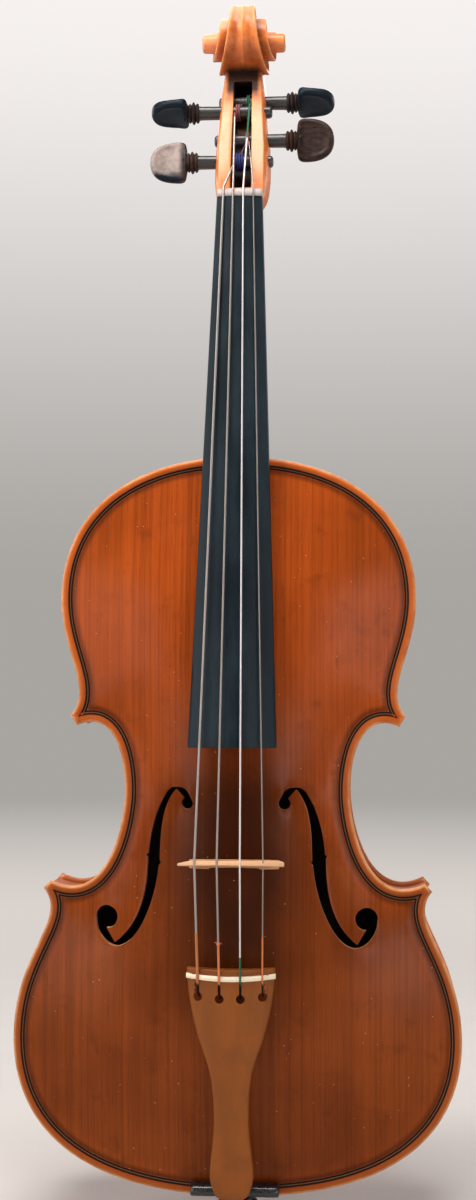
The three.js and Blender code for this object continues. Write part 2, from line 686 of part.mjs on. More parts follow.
// A peg: tapered shaft, collar of three beads and a head hollowed on both faces
function pegHead() {
  const outlineOfHead = new THREE.Shape();
  outlineOfHead.moveTo(31, -6);
  outlineOfHead.lineTo(33, -11.4);
  outlineOfHead.bezierCurveTo(46, -13.4, 52.5, -8, 52.5, 0);
  outlineOfHead.bezierCurveTo(52.5, 8, 46, 13.4, 33, 11.4);
  outlineOfHead.lineTo(31, 6);
  const settings = { depth: 11, bevelEnabled: false, curveSegments: 5 };
  const blank = new THREE.ExtrudeGeometry(outlineOfHead, settings);
  blank.translate(0, 0, -5.5).rotateX(Math.PI / 2);
  let head = solid(blank);
  for (const face of [-1, 1]) {
    const scoop = new THREE.SphereGeometry(26, 16, 12).scale(1, 1, 0.8).translate(50, face * 28.2, 0);
    head = head.subtract(solid(scoop));
  }
  return head.intersect(turned([[0, 30], [12.4, 30], [12.4, 53], [0, 53]], 20));
}
function pegShaft(tip) {
  const outline = [
    [0, -tip],
    [pegRadius(-tip) - 0.6, -tip],
    [pegRadius(-tip), -tip + 0.6],
    [pegRadius(25), 25],
    [5.2, 25.6],
    [5.6, 26.6],
    [5.1, 27.4],
    [6.4, 28.3],
    [5.1, 29.2],
    [5.6, 30],
    [4.6, 31],
    [5.5, 33.5],
    [0, 33.5],
  ];
  return turned(outline, 12);
}
const head = pegHead();
for (const peg of pegs) {
  const whole = pegShaft(peg.tip).add(head.rotate([(peg.turn * 180) / Math.PI, 0, 0]));
  place(`peg_${peg.name}`, toPeg(whole, peg), "rosewood");
}

// Bridge: half of its outline, from the crown down to the arch between the feet
const bridgeHalf = new THREE.Shape();
bridgeHalf.moveTo(0, BRIDGE_HEIGHT);
bridgeHalf.quadraticCurveTo(14, BRIDGE_HEIGHT - 0.2, 28, BRIDGE_HEIGHT - 8.6);
bridgeHalf.lineTo(28.4, BRIDGE_HEIGHT - 10.6);
bridgeHalf.bezierCurveTo(25, 24.4, 22, 23.4, 18.5, 24.6);
bridgeHalf.bezierCurveTo(13.5, 25.5, 12, 19, 16, 18.2);
bridgeHalf.bezierCurveTo(19, 17.7, 20, 19.4, 22, 19);
bridgeHalf.bezierCurveTo(23, 15, 19.6, 11, 18.4, 8);
bridgeHalf.bezierCurveTo(18, 4.4, 21, 2.2, 24.4, 1.2);
bridgeHalf.lineTo(24.4, -6);
bridgeHalf.lineTo(13.4, -6);
bridgeHalf.lineTo(13.2, 2.2);
bridgeHalf.bezierCurveTo(12, 8, 6, 10.4, 0, 10.6);
const bridgeRight = bridgeHalf.getPoints(6);
const bridgeOutline = new THREE.Shape([...bridgeRight, ...mirrored(bridgeRight).slice(1, -1)]);
const heart = new THREE.Path();
heart.moveTo(0, 17.6);
heart.bezierCurveTo(7.5, 19.5, 7.5, 27, 3.4, 27);
heart.bezierCurveTo(1.6, 27, 1.4, 25, 0, 24);
heart.bezierCurveTo(-1.4, 25, -1.6, 27, -3.4, 27);
heart.bezierCurveTo(-7.5, 27, -7.5, 19.5, 0, 17.6);
bridgeOutline.holes.push(heart);
const bridgeSettings = { depth: 6, bevelEnabled: false, curveSegments: 5 };
const bridgeBlank = new THREE.ExtrudeGeometry(bridgeOutline, bridgeSettings);
bridgeBlank.rotateX(Math.PI / 2).translate(STRING_SHIFT * 0.4, 6, 0);
const bridgeSide = new THREE.Shape();
bridgeSide.moveTo(0, -8);
bridgeSide.lineTo(4.8, -8);
bridgeSide.lineTo(4.8, 2);
bridgeSide.quadraticCurveTo(4.4, BRIDGE_HEIGHT * 0.6, 2.4, BRIDGE_HEIGHT + 1);
bridgeSide.lineTo(0, BRIDGE_HEIGHT + 1);
const bridgeTaper = profile(bridgeSide, 40, 5).translate([0, 0, -BODY_FOOT]);
const topUnderBridge = -outerSide(TOP_RISE)(0, BRIDGE_FOOT);
const topForm = slab((x, h) => outerSide(TOP_RISE)(x, h) + FIT, () => 0, -1);
const bridge = solid(bridgeBlank)
  .intersect(bridgeTaper)
  .rotate([90 - (BRIDGE_LEAN * 180) / Math.PI, 0, 0])
  .translate([0, topUnderBridge, up(BRIDGE_FOOT)])
  .subtract(topForm)
  .subtract(stringGrooves);
place("bridge", bridge, "pale_wood");

// Tailpiece: a vaulted shell with four keyholes, a fret across it and a solid lower end
const TAIL_FOOT = 2.5;
const TAIL_HEAD = 128.6;
const tailHalfWidths = [
  [TAIL_FOOT, 5.5],
  [6, 9.6],
  [14, 11.7],
  [34, 10],
  [52, 9.3],
  [68, 10.8],
  [82, 14.6],
  [92, 18],
  [104, 21],
  [116, 23],
  [TAIL_HEAD, 23.8],
];
const tailFront = (h) => mix(-41, -57.2, (h - TAIL_FOOT) / (TAIL_HEAD - TAIL_FOOT));
function tailRing(h, half, front, back) {
  const ring = [];
  for (let i = 0; i <= 8; i++) {
    const x = mix(-half, half, i / 8);
    ring.push(new THREE.Vector3(x + STRING_SHIFT, front + (x * x) / 95, up(h)));
  }
  for (let i = 0; i <= 8; i++) {
    const x = mix(half, -half, i / 8);
    ring.push(new THREE.Vector3(x + STRING_SHIFT, back(x), up(h)));
  }
  return ring;
}
const tailOuter = loft(
  tailHalfWidths.map(([h, half]) => tailRing(h, half, tailFront(h), () => tailFront(h) + 8)),
);
const tailHollow = loft(
  [30, 60, 92, TAIL_HEAD + 2].map((h) => {
    const half = h < 60 ? 5.5 : h < 90 ? 6.5 : mix(14, 20.5, (h - 92) / 38);
    return tailRing(h, half, tailFront(h) + 4, () => tailFront(h) + 12);
  }),
);
const fretSeat = (slack) =>
  loft(
    [FRET_HEIGHT - 1.4 - slack, FRET_HEIGHT + 1.4 + slack].map((h) =>
      tailRing(h, 23.9, tailFront(h) - 0.9 - slack, (x) => tailFront(h) + 1.6 + slack + (x * x) / 95),
    ),
  );
let tailpiece = tailOuter.subtract(tailHollow).subtract(fretSeat(0.1));
for (let i = 0; i < 4; i++) {
  const x = stringAtFret[i];
  const hole = new THREE.CylinderGeometry(2.4, 2.4, 30, 10).translate(x, -52, up(keyholeHeight[i]));
  tailpiece = tailpiece.subtract(solid(hole));
  tailpiece = tailpiece.subtract(box(x - 0.95, x + 0.95, -75, -40, keyholeHeight[i], FRET_HEIGHT - 1.5));
}
const TAILGUT_RADIUS = 1;
for (const x of [-5, 3]) {
  const bore = new THREE.CylinderGeometry(TAILGUT_RADIUS + 0.3, TAILGUT_RADIUS + 0.3, 40, 10);
  bore.rotateX(Math.PI / 2).translate(x, -36.4, up(TAIL_FOOT + 30));
  tailpiece = tailpiece.subtract(solid(bore));
}
tailpiece = tailpiece.subtract(box(-6.6, 4.6, -38, -20, -5, 16)).subtract(stringGrooves);
place("tailpiece", tailpiece, "boxwood");
place("tailpiece_fret", fretSeat(0).subtract(stringGrooves), "white");

// Saddle, end button and the tailgut that loops over the one and round the other
const SADDLE_BACK = -RIB_HALF - GLUE_LINE;
const saddleSide = new THREE.Shape();
saddleSide.moveTo(SADDLE_BACK, 1.6);
saddleSide.lineTo(-28.5, 1.6);
saddleSide.quadraticCurveTo(-32, 2, -32, 5);
saddleSide.lineTo(-30.5, 7.6);
saddleSide.lineTo(SADDLE_BACK, 7.6);
place("saddle", profile(saddleSide, 24), "ebony");

const buttonProfile = [
  [0, 0],
  [9.6, 0],
  [11, 1.2],
  [11, 5.2],
  [9.4, 6.4],
  [6.2, 6.9],
  [6, 10.2],
  [7, 11],
  [7, 12.6],
  [PIN_RADIUS, 12.6],
  [PIN_RADIUS - 0.5, 42],
  [0, 42],
].map(([radius, z]) => new THREE.Vector2(radius, z));
const endButton = solid(new THREE.LatheGeometry(buttonProfile, 20).rotateX(Math.PI / 2));
place("end_button", endButton, "rosewood");

const GUT_TURN = 7.6; // radius of the loop in the button's groove
const gutLeg = (side) => [
  [STRING_SHIFT + side * 4, -36.4, up(30)],
  [STRING_SHIFT + side * 4, -36.4, up(17)],
  [STRING_SHIFT + side * 4.2, -33.6, up(7)],
  [STRING_SHIFT * 0.8 + side * 4.6, -32.8, up(1.2)],
  [side * 5.6, -28, 10.6],
  [side * GUT_TURN, -12, 8.7],
];
const gutTurn = [];
for (let i = 0; i <= 10; i++) {
  const a = Math.PI + (Math.PI * i) / 10;
  gutTurn.push([GUT_TURN * Math.cos(a), -GUT_TURN * Math.sin(a), 8.55]);
}
const gutPath = [...gutLeg(-1), ...gutTurn, ...gutLeg(1).reverse()].map((p) => new THREE.Vector3(...p));
place("tailgut", stringSolid(gutPath, TAILGUT_RADIUS), "nylon");

export default group;
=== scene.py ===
"""Viola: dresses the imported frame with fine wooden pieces, strings and procedural materials.

Shapes are worked out in millimetres. Their heights are above the body's lower edge, which stands
BODY_FOOT above the flat end of the end button.
"""
import math

import bpy
import numpy as np
from mathutils import Matrix, Vector
from mathutils.geometry import delaunay_2d_cdt


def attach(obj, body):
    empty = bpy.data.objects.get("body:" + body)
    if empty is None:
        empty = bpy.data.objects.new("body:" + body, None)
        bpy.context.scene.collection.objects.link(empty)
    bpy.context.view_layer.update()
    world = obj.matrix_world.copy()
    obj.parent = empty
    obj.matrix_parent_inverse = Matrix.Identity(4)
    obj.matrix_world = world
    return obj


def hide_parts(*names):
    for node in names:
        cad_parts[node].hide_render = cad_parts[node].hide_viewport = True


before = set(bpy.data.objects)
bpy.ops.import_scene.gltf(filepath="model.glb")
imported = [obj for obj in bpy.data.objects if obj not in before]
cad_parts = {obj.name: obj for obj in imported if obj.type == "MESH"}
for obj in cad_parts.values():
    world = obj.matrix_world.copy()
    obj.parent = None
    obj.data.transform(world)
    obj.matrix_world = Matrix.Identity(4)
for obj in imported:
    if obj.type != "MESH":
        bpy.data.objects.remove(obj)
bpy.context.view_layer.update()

# Driving sizes in millimetres, the same as the frame's
BODY_FOOT = 12.5
BODY_LENGTH = 406
RIB_HALF = 19
TOP_RISE = 14
BACK_RISE = 11
RIB_INSET = 2.6
RIB_THICKNESS = 1.2
PURFLING = (4.0, 4.95, 5.45, 6.4)
NUT_FOOT = 552.6
NUT_HEIGHT = 4.6
BOARD_END = 245.7
BOARD_HALF_AT_END = 23.9
BOARD_HALF_AT_NUT = 12.8
BOARD_RADIUS = 40
BOARD_SIDE = 5.4
GLUE_SLOPE = 0.1095
GLUE_Y_AT_NUT = -14.3
BRIDGE_FOOT = 179.8
BRIDGE_HEIGHT = 36.5
BRIDGE_LEAN = 0.13
FRET_HEIGHT = 124
STRING_SHIFT = -1
EYE_Y = 15
EYE_HEIGHT = 650.5
EYE_RADIUS = 5.3
EYE_HALF = 24.2
DRUM = 3.75
PEG_TIP = 18

# Where the bridge's crown, the tailpiece's slots and the pegbox's well lie
CROWN_Y = -72.9
CROWN_CURVE = 88
SLOT_TOP = 120.6
WELL_BOTTOM = 559.5
WELL_TOP = 626


def mix(a, b, t):
    return a + (b - a) * t


def clamp(value, low, high):
    return max(low, min(high, value))


# Meshes
def mesh_piece(
    name, points, faces, materials, body="body", replaces=(), sharp=35, slots=None, attributes=None,
):
    """A piece from points in the body's millimetres and lists of corners, riding on a body of the frame."""
    mesh = bpy.data.meshes.new(name)
    metres = [(x * 0.001, y * 0.001, (h + BODY_FOOT) * 0.001) for x, y, h in points]
    mesh.from_pydata(metres, [], [tuple(int(i) for i in face) for face in faces])
    mesh.update()
    for material in materials:
        mesh.materials.append(material)
    if slots is not None:
        mesh.polygons.foreach_set("material_index", np.asarray(slots, dtype=np.int32))
    for key, values in (attributes or {}).items():
        layer = mesh.attributes.new(key, "FLOAT", "POINT")
        layer.data.foreach_set("value", np.asarray(values, dtype=np.float32))
    mesh.shade_smooth()
    if sharp:
        mesh.set_sharp_from_angle(angle=math.radians(sharp))
    piece = bpy.data.objects.new(name, mesh)
    bpy.context.scene.collection.objects.link(piece)
    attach(piece, body)
    if replaces:
        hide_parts(*replaces)
    return piece


def loft(rings):
    """Points and faces of a closed skin through rings with the same number of points."""
    count = len(rings[0])
    points = [tuple(p) for ring in rings for p in ring]
    faces = []
    for k in range(len(rings) - 1):
        for i in range(count):
            j = (i + 1) % count
            faces.append((k * count + i, k * count + j, (k + 1) * count + j, (k + 1) * count + i))
    faces.append(tuple(reversed(range(count))))
    faces.append(tuple((len(rings) - 1) * count + i for i in range(count)))
    return outwards(points, faces)


def outwards(points, faces):
    """The same faces, turned over as a whole if they enclose a negative volume."""
    volume = 0.0
    for face in faces:
        a = points[face[0]]
        for i in range(1, len(face) - 1):
            b, c = points[face[i]], points[face[i + 1]]
            volume += (
                a[0] * (b[1] * c[2] - b[2] * c[1])
                + a[1] * (b[2] * c[0] - b[0] * c[2])
                + a[2] * (b[0] * c[1] - b[1] * c[0])
            )
    return points, faces if volume > 0 else [tuple(reversed(face)) for face in faces]


def joined(*parts):
    """Several closed skins as one list of points and one of faces."""
    points, faces = [], []
    for part_points, part_faces in parts:
        start = len(points)
        points.extend(part_points)
        faces.extend(tuple(start + i for i in face) for face in part_faces)
    return points, faces


def sweep(path, radii, sides=12):
    """A round cord along a path, with one radius for each of its points."""
    path = [Vector(p) for p in path]
    sideways = Vector((1, 0, 0))
    rings = []
    for k, point in enumerate(path):
        heading = (path[min(k + 1, len(path) - 1)] - path[max(k - 1, 0)]).normalized()
        if k == 0 and abs(heading.x) > 0.9:
            sideways = Vector((0, 1, 0))
        sideways = (sideways - heading * heading.dot(sideways)).normalized()
        other = heading.cross(sideways)
        ring = []
        for s in range(sides):
            a = 2 * math.pi * s / sides
            ring.append(
                tuple(point + sideways * (radii[k] * math.cos(a)) + other * (radii[k] * math.sin(a)))
            )
        rings.append(ring)
    return loft(rings)


def turned(profile, sides=48):
    """A skin turned around the X axis from (distance along X, radius) pairs."""
    rings = []
    for along, radius in profile:
        ring = []
        for s in range(sides):
            a = 2 * math.pi * s / sides
            ring.append((along, radius * math.cos(a), radius * math.sin(a)))
        rings.append(ring)
    return loft(rings)


def bezier(a, b, c, d, steps):
    """Points from a to d along a cubic curve, without the last one."""
    points = []
    for i in range(steps):
        t = i / steps
        u = 1 - t
        points.append(tuple(
            u ** 3 * a[k] + 3 * u * u * t * b[k] + 3 * u * t * t * c[k] + t ** 3 * d[k] for k in range(2)
        ))
    return points


def arc(centre, radius, start, end, steps):
    points = []
    for i in range(steps):
        a = mix(start, end, i / steps)
        points.append((centre[0] + radius * math.cos(a), centre[1] + radius * math.sin(a)))
    return points


# Flat outlines: distances, crossings and fine two-sided sheets
def edge_distance(points, polygons):
    """Distance of each point to the nearest side of any of the closed polygons."""
    points = np.asarray(points, dtype=float)
    best = np.full(len(points), np.inf)
    for polygon in polygons:
        polygon = np.asarray(polygon, dtype=float)
        ends = np.roll(polygon, -1, axis=0)
        for a, b in zip(polygon, ends):
            side = b - a
            share = np.clip(((points - a) @ side) / max(float(side @ side), 1e-9), 0, 1)
            gap = points - a - share[:, None] * side
            best = np.minimum(best, np.hypot(gap[:, 0], gap[:, 1]))
    return best


def is_inside(points, polygon):
    points = np.asarray(points, dtype=float)
    inside = np.zeros(len(points), dtype=bool)
    count = len(polygon)
    for i in range(count):
        (ax, ay), (bx, by) = polygon[i], polygon[(i + 1) % count]
        if ay == by:
            continue
        spans = (ay > points[:, 1]) != (by > points[:, 1])
        inside ^= spans & (points[:, 0] < ax + (points[:, 1] - ay) / (by - ay) * (bx - ax))
    return inside


def offset_points(polygon, inset, side):
    """Points beside the middle of each of a polygon's corners, on its left for side 1."""
    polygon = np.asarray(polygon, dtype=float)
    tangent = np.roll(polygon, -1, axis=0) - np.roll(polygon, 1, axis=0)
    tangent /= np.maximum(np.hypot(tangent[:, 0], tangent[:, 1]), 1e-9)[:, None]
    return polygon + side * inset * np.stack([-tangent[:, 1], tangent[:, 0]], axis=1)


def area(polygon):
    return sum(a[0] * b[1] - b[0] * a[1] for a, b in zip(polygon, polygon[1:] + polygon[:1])) / 2


def triangulated(outer, holes, insets, hole_insets, spacing, creases=()):
    """Fine triangles inside a polygon: rows of points beside its edges and a grid of them in the middle."""
    outer = outer if area(outer) > 0 else outer[::-1]
    holes = [hole if area(hole) > 0 else hole[::-1] for hole in holes]
    rim = [outer, *holes]
    points, edges = [], []
    for polygon in rim:
        start = len(points)
        points.extend(polygon)
        edges.extend((start + i, start + (i + 1) % len(polygon)) for i in range(len(polygon)))
    for crease in creases:
        start = len(points)
        points.extend(crease)
        edges.extend((start + i, start + i + 1) for i in range(len(crease) - 1))
    extra = []
    rows = [(outer, inset, 1) for inset in insets]
    rows += [(hole, inset, -1) for hole in holes for inset in hole_insets]
    for polygon, inset, side in rows:
        row = offset_points(polygon, inset, side)
        near = edge_distance(row, [polygon])
        extra.append(row[near > inset - 0.05])
    if spacing:
        corners = np.asarray(outer)
        low, high = corners.min(axis=0), corners.max(axis=0)
        margin = (insets[-1] if insets else 0) + 0.6 * spacing
        hole_margin = (hole_insets[-1] if hole_insets else 0) + 0.5 * spacing
        grid = []
        for row, y in enumerate(np.arange(low[1], high[1], spacing * 0.866)):
            for x in np.arange(low[0] + (row % 2) * spacing / 2, high[0], spacing):
                grid.append((x, y))
        grid = np.asarray(grid)
        grid = grid[is_inside(grid, outer)]
        grid = grid[edge_distance(grid, [outer]) > margin]
        if holes:
            grid = grid[edge_distance(grid, holes) > hole_margin]
        extra.append(grid)
    if extra:
        free = np.concatenate(extra)
        keep = is_inside(free, outer)
        for hole in holes:
            keep &= ~is_inside(free, hole)
        free = free[keep]
        if holes and len(free):
            free = free[edge_distance(free, holes) > 0.12]
        points.extend(map(tuple, free))
    flat = [Vector((float(p[0]), float(p[1]))) for p in points]
    made = delaunay_2d_cdt(flat, edges, [], 0, 1e-5, False)
    corners = np.asarray([(v.x, v.y) for v in made[0]])
    triangles = np.asarray([face for face in made[2] if len(face) == 3])
    middle = corners[triangles].mean(axis=1)
    keep = is_inside(middle, outer)
    for hole in holes:
        keep &= ~is_inside(middle, hole)
    triangles = triangles[keep]
    used = np.unique(triangles)
    order = np.full(len(corners), -1)
    order[used] = np.arange(len(used))
    return corners[used], order[triangles]


def two_sided(corners, triangles, front, back, place):
    """A closed skin with the same triangles on both faces and walls along every free side.

    front and back are heights for each corner, and place turns (x, y, height) into a point."""
    count = len(corners)
    points = [place(x, y, z) for (x, y), z in zip(corners, front)]
    points += [place(x, y, z) for (x, y), z in zip(corners, back)]
    faces = [tuple(t) for t in triangles]
    faces += [(t[2] + count, t[1] + count, t[0] + count) for t in triangles]
    sides = {}
    for t in triangles:
        for i in range(3):
            a, b = int(t[i]), int(t[(i + 1) % 3])
            sides[(a, b)] = True
    walls = [(a, b) for a, b in sides if (b, a) not in sides]
    faces += [(b, a, a + count, b + count) for a, b in walls]
    return outwards(points, faces)


# The body's outline
LOWER = [
    [(0, 0), (93.7, 0), (123.4, 41.2), (123.4, 85)],
    [(123.4, 85), (123.4, 131.7), (92.8, 149.3), (107.2, 166.6)],
]
MIDDLE = [
    [(103.2, 171), (72.1, 155.8), (62.2, 202), (62.2, 221)],
    [(62.2, 221), (62.2, 240.4), (69, 266.1), (89.2, 256.6)],
]
UPPER = [
    [(92.9, 262.3), (79.9, 276.9), (98.5, 297.3), (98.5, 327)],
    [(98.5, 327), (98.5, 376.4), (59.5, BODY_LENGTH), (0, BODY_LENGTH)],
]


def run(bout, inset, steps=56):
    """Points along the two curves of a bout, moved inwards."""
    line = []
    for curve in bout:
        line += bezier(*curve, steps)
    line.append(bout[-1][3])
    line = np.asarray(line, dtype=float)
    tangent = np.gradient(line, axis=0)
    tangent /= np.hypot(tangent[:, 0], tangent[:, 1])[:, None]
    return [tuple(p) for p in line + inset * np.stack([-tangent[:, 1], tangent[:, 0]], axis=1)]


def crossing(a, b, c, d):
    ab, cd, ac = (b[0] - a[0], b[1] - a[1]), (d[0] - c[0], d[1] - c[1]), (c[0] - a[0], c[1] - a[1])
    turn = ab[0] * cd[1] - ab[1] * cd[0]
    if turn == 0:
        return None
    s = (ac[0] * cd[1] - ac[1] * cd[0]) / turn
    t = (ac[0] * ab[1] - ac[1] * ab[0]) / turn
    return (a[0] + ab[0] * s, a[1] + ab[1] * s) if 0 <= s <= 1 and 0 <= t <= 1 else None


def cut_at(first, second):
    """The first run up to its crossing with the second, and the second from there on."""
    for i in range(len(first) - 1):
        for j in range(len(second) - 2, -1, -1):
            corner = crossing(first[i], first[i + 1], second[j], second[j + 1])
            if corner:
                return first[: i + 1] + [corner], [corner] + second[j + 1:]
    return first, second


def mitred(first, second):
    """The two runs as one, without what lies beyond their crossing."""
    before, after = cut_at(first, second)
    return before + (after[1:] if after[0] == before[-1] else after)


def half_outline(inset):
    return mitred(mitred(run(LOWER, inset), run(MIDDLE, inset)), run(UPPER, inset))


def mirrored(line):
    return [(-x, y) for x, y in reversed(line)]


def outline(inset):
    half = half_outline(inset)
    return half + mirrored(half)[1:-1]


BODY_OUTLINE = outline(0)


def arching(points, depth, start):
    """Share of the full rise for points at a depth inside the outline."""
    h = points[:, 1]
    waist = 0.5 + 0.5 * np.cos(np.minimum(1, np.abs(h - 215) / 120) * np.pi)
    reach = mix(np.where(h < 215, 88.0, 74.0), 54.0, waist)
    share = np.clip((depth - start) / reach, 0, 1)
    length = 1 - 0.2 * ((h - 205) / 203) ** 2
    return length * (0.5 - 0.5 * np.cos(np.pi * share ** 0.75))


def outer_height(points, rise, depth=None):
    """Distance of the plate's outer face from the middle of the ribs, with its round edge and channel."""
    points = np.asarray(points, dtype=float)
    depth = edge_distance(points, [BODY_OUTLINE]) if depth is None else depth
    round_over = 1.9 * (1 - np.sqrt(np.maximum(0, 1 - (1 - np.minimum(depth, 1.9) / 1.9) ** 2)))
    crown = 0.25 * np.exp(-((depth - 2.4) / 1.3) ** 2)
    channel = 0.75 * np.exp(-((depth - 6.4) / 2.6) ** 2)
    return RIB_HALF + 4 - round_over + crown - channel + rise * arching(points, depth, 6.5)


def relaxed(values, triangles, free, rounds):
    """The values evened out along the triangles' sides, where free is 1, and kept where it is 0."""
    edges = np.concatenate([triangles[:, [0, 1]], triangles[:, [1, 2]], triangles[:, [2, 0]]])
    degree = np.bincount(edges.ravel(), minlength=len(values))
    for _ in range(rounds):
        total = np.bincount(edges[:, 0], values[edges[:, 1]], len(values))
        total += np.bincount(edges[:, 1], values[edges[:, 0]], len(values))
        values = values + 0.7 * free * (total / degree - values)
    return values


def inner_height(points, rise, depth):
    round_under = 1.4 * (1 - np.sqrt(np.maximum(0, 1 - (1 - np.minimum(depth, 1.4) / 1.4) ** 2)))
    return RIB_HALF + 0.05 + round_under + (rise + 1) * arching(points, depth, 14)


# Materials
def linear(*rgb):
    """A colour read on screen from 0 to 255, as the renderer's numbers."""
    return tuple((c / 255 / 12.92) if c <= 10 else ((c / 255 + 0.055) / 1.055) ** 2.4 for c in rgb) + (1.0,)


class Value:
    """A number or a tone that varies over a surface: a socket of a shader's nodes, with arithmetic."""

    def __init__(self, shader, socket):
        self.shader = shader
        self.socket = socket

    def __add__(self, other):
        return self.shader.math("ADD", self, other)

    def __sub__(self, other):
        return self.shader.math("SUBTRACT", self, other)

    def __rsub__(self, other):
        return self.shader.math("SUBTRACT", other, self)

    def __mul__(self, other):
        return self.shader.math("MULTIPLY", self, other)

    def __truediv__(self, other):
        return self.shader.math("DIVIDE", self, other)

    def __pow__(self, other):
        return self.shader.math("POWER", self, other)

    def __abs__(self):
        return self.shader.math("ABSOLUTE", self)


class Shader:
    """A material's nodes, built with short calls. Tones are red, green and blue as read on screen."""

    def __init__(self, name, **surface):
        self.material = bpy.data.materials.new(name)
        self.material.use_nodes = True
        self.tree = self.material.node_tree
        self.bsdf = self.tree.nodes["Principled BSDF"]
        self.where = self.node("ShaderNodeTexCoord", "Object")
        self.base = None
        for key, value in surface.items():
            self.feed(self.bsdf.inputs[key.replace("_", " ")], value)

    def node(self, kind, output, settings=None, **inputs):
        """One output of a new node. Inputs go by their name, or by i and their number."""
        made = self.tree.nodes.new(kind)
        for key, value in (settings or {}).items():
            setattr(made, key, value)
        for key, value in inputs.items():
            self.feed(made.inputs[int(key[1:]) if key[1:].isdigit() else key], value)
        return Value(self, made.outputs[output])

    def feed(self, socket, value):
        if isinstance(value, Value):
            self.tree.links.new(value.socket, socket)
        else:
            socket.default_value = value

    def math(self, operation, a, b=0.0):
        return self.node("ShaderNodeMath", 0, {"operation": operation}, i0=a, i1=b)

    def scaled(self, x, y, z):
        """The position in millimetres, times a factor for each axis."""
        return self.node("ShaderNodeMapping", 0, Vector=self.where, Scale=(1000 * x, 1000 * y, 1000 * z))

    def axis(self, index):
        """X, Y or Z of the position, in millimetres."""
        return self.node("ShaderNodeSeparateXYZ", index, Vector=self.scaled(1, 1, 1))

    def attribute(self, name):
        return self.node("ShaderNodeAttribute", "Fac", {"attribute_name": name})

    def noise(self, scale, detail=3.0, rough=0.55, vector=None, distortion=0.0):
        """Noise from 0 to 1. scale is features per millimetre of the vector."""
        return self.node(
            "ShaderNodeTexNoise", "Fac", Vector=vector or self.scaled(1, 1, 1),
            Scale=scale, Detail=detail, Roughness=rough, Distortion=distortion,
        )

    def spread(self, value, low, high, out_low=0.0, out_high=1.0):
        """The value eased from out_low where it is low to out_high where it is high."""
        settings = {"interpolation_type": "SMOOTHSTEP"}
        return self.node(
            "ShaderNodeMapRange", 0, settings, Value=value, i1=low, i2=high, i3=out_low, i4=out_high,
        )

    def blend(self, share, first, second):
        """The first tone with a share of the second mixed in."""
        first, second = (tone if isinstance(tone, Value) else linear(*tone) for tone in (first, second))
        return self.node("ShaderNodeMix", 2, {"data_type": "RGBA"}, i0=share, i6=first, i7=second)

    def ground(self, share, first, second):
        """Starts the surface's tone with a blend of two."""
        self.base = self.blend(share, first, second)

    def paint(self, share, tone):
        """Lays a share of a tone over the surface."""
        self.base = self.blend(share, self.base, tone)

    def bump(self, height, strength, distance_mm, under=None):
        below = {"Normal": under} if under else {}
        return self.node(
            "ShaderNodeBump", 0, Height=height, Strength=strength, Distance=distance_mm * 0.001, **below,
        )

    def finished(self, roughness, normal):
        for name, value in (("Base Color", self.base), ("Roughness", roughness), ("Normal", normal)):
            self.feed(self.bsdf.inputs[name], value)
        return self.material


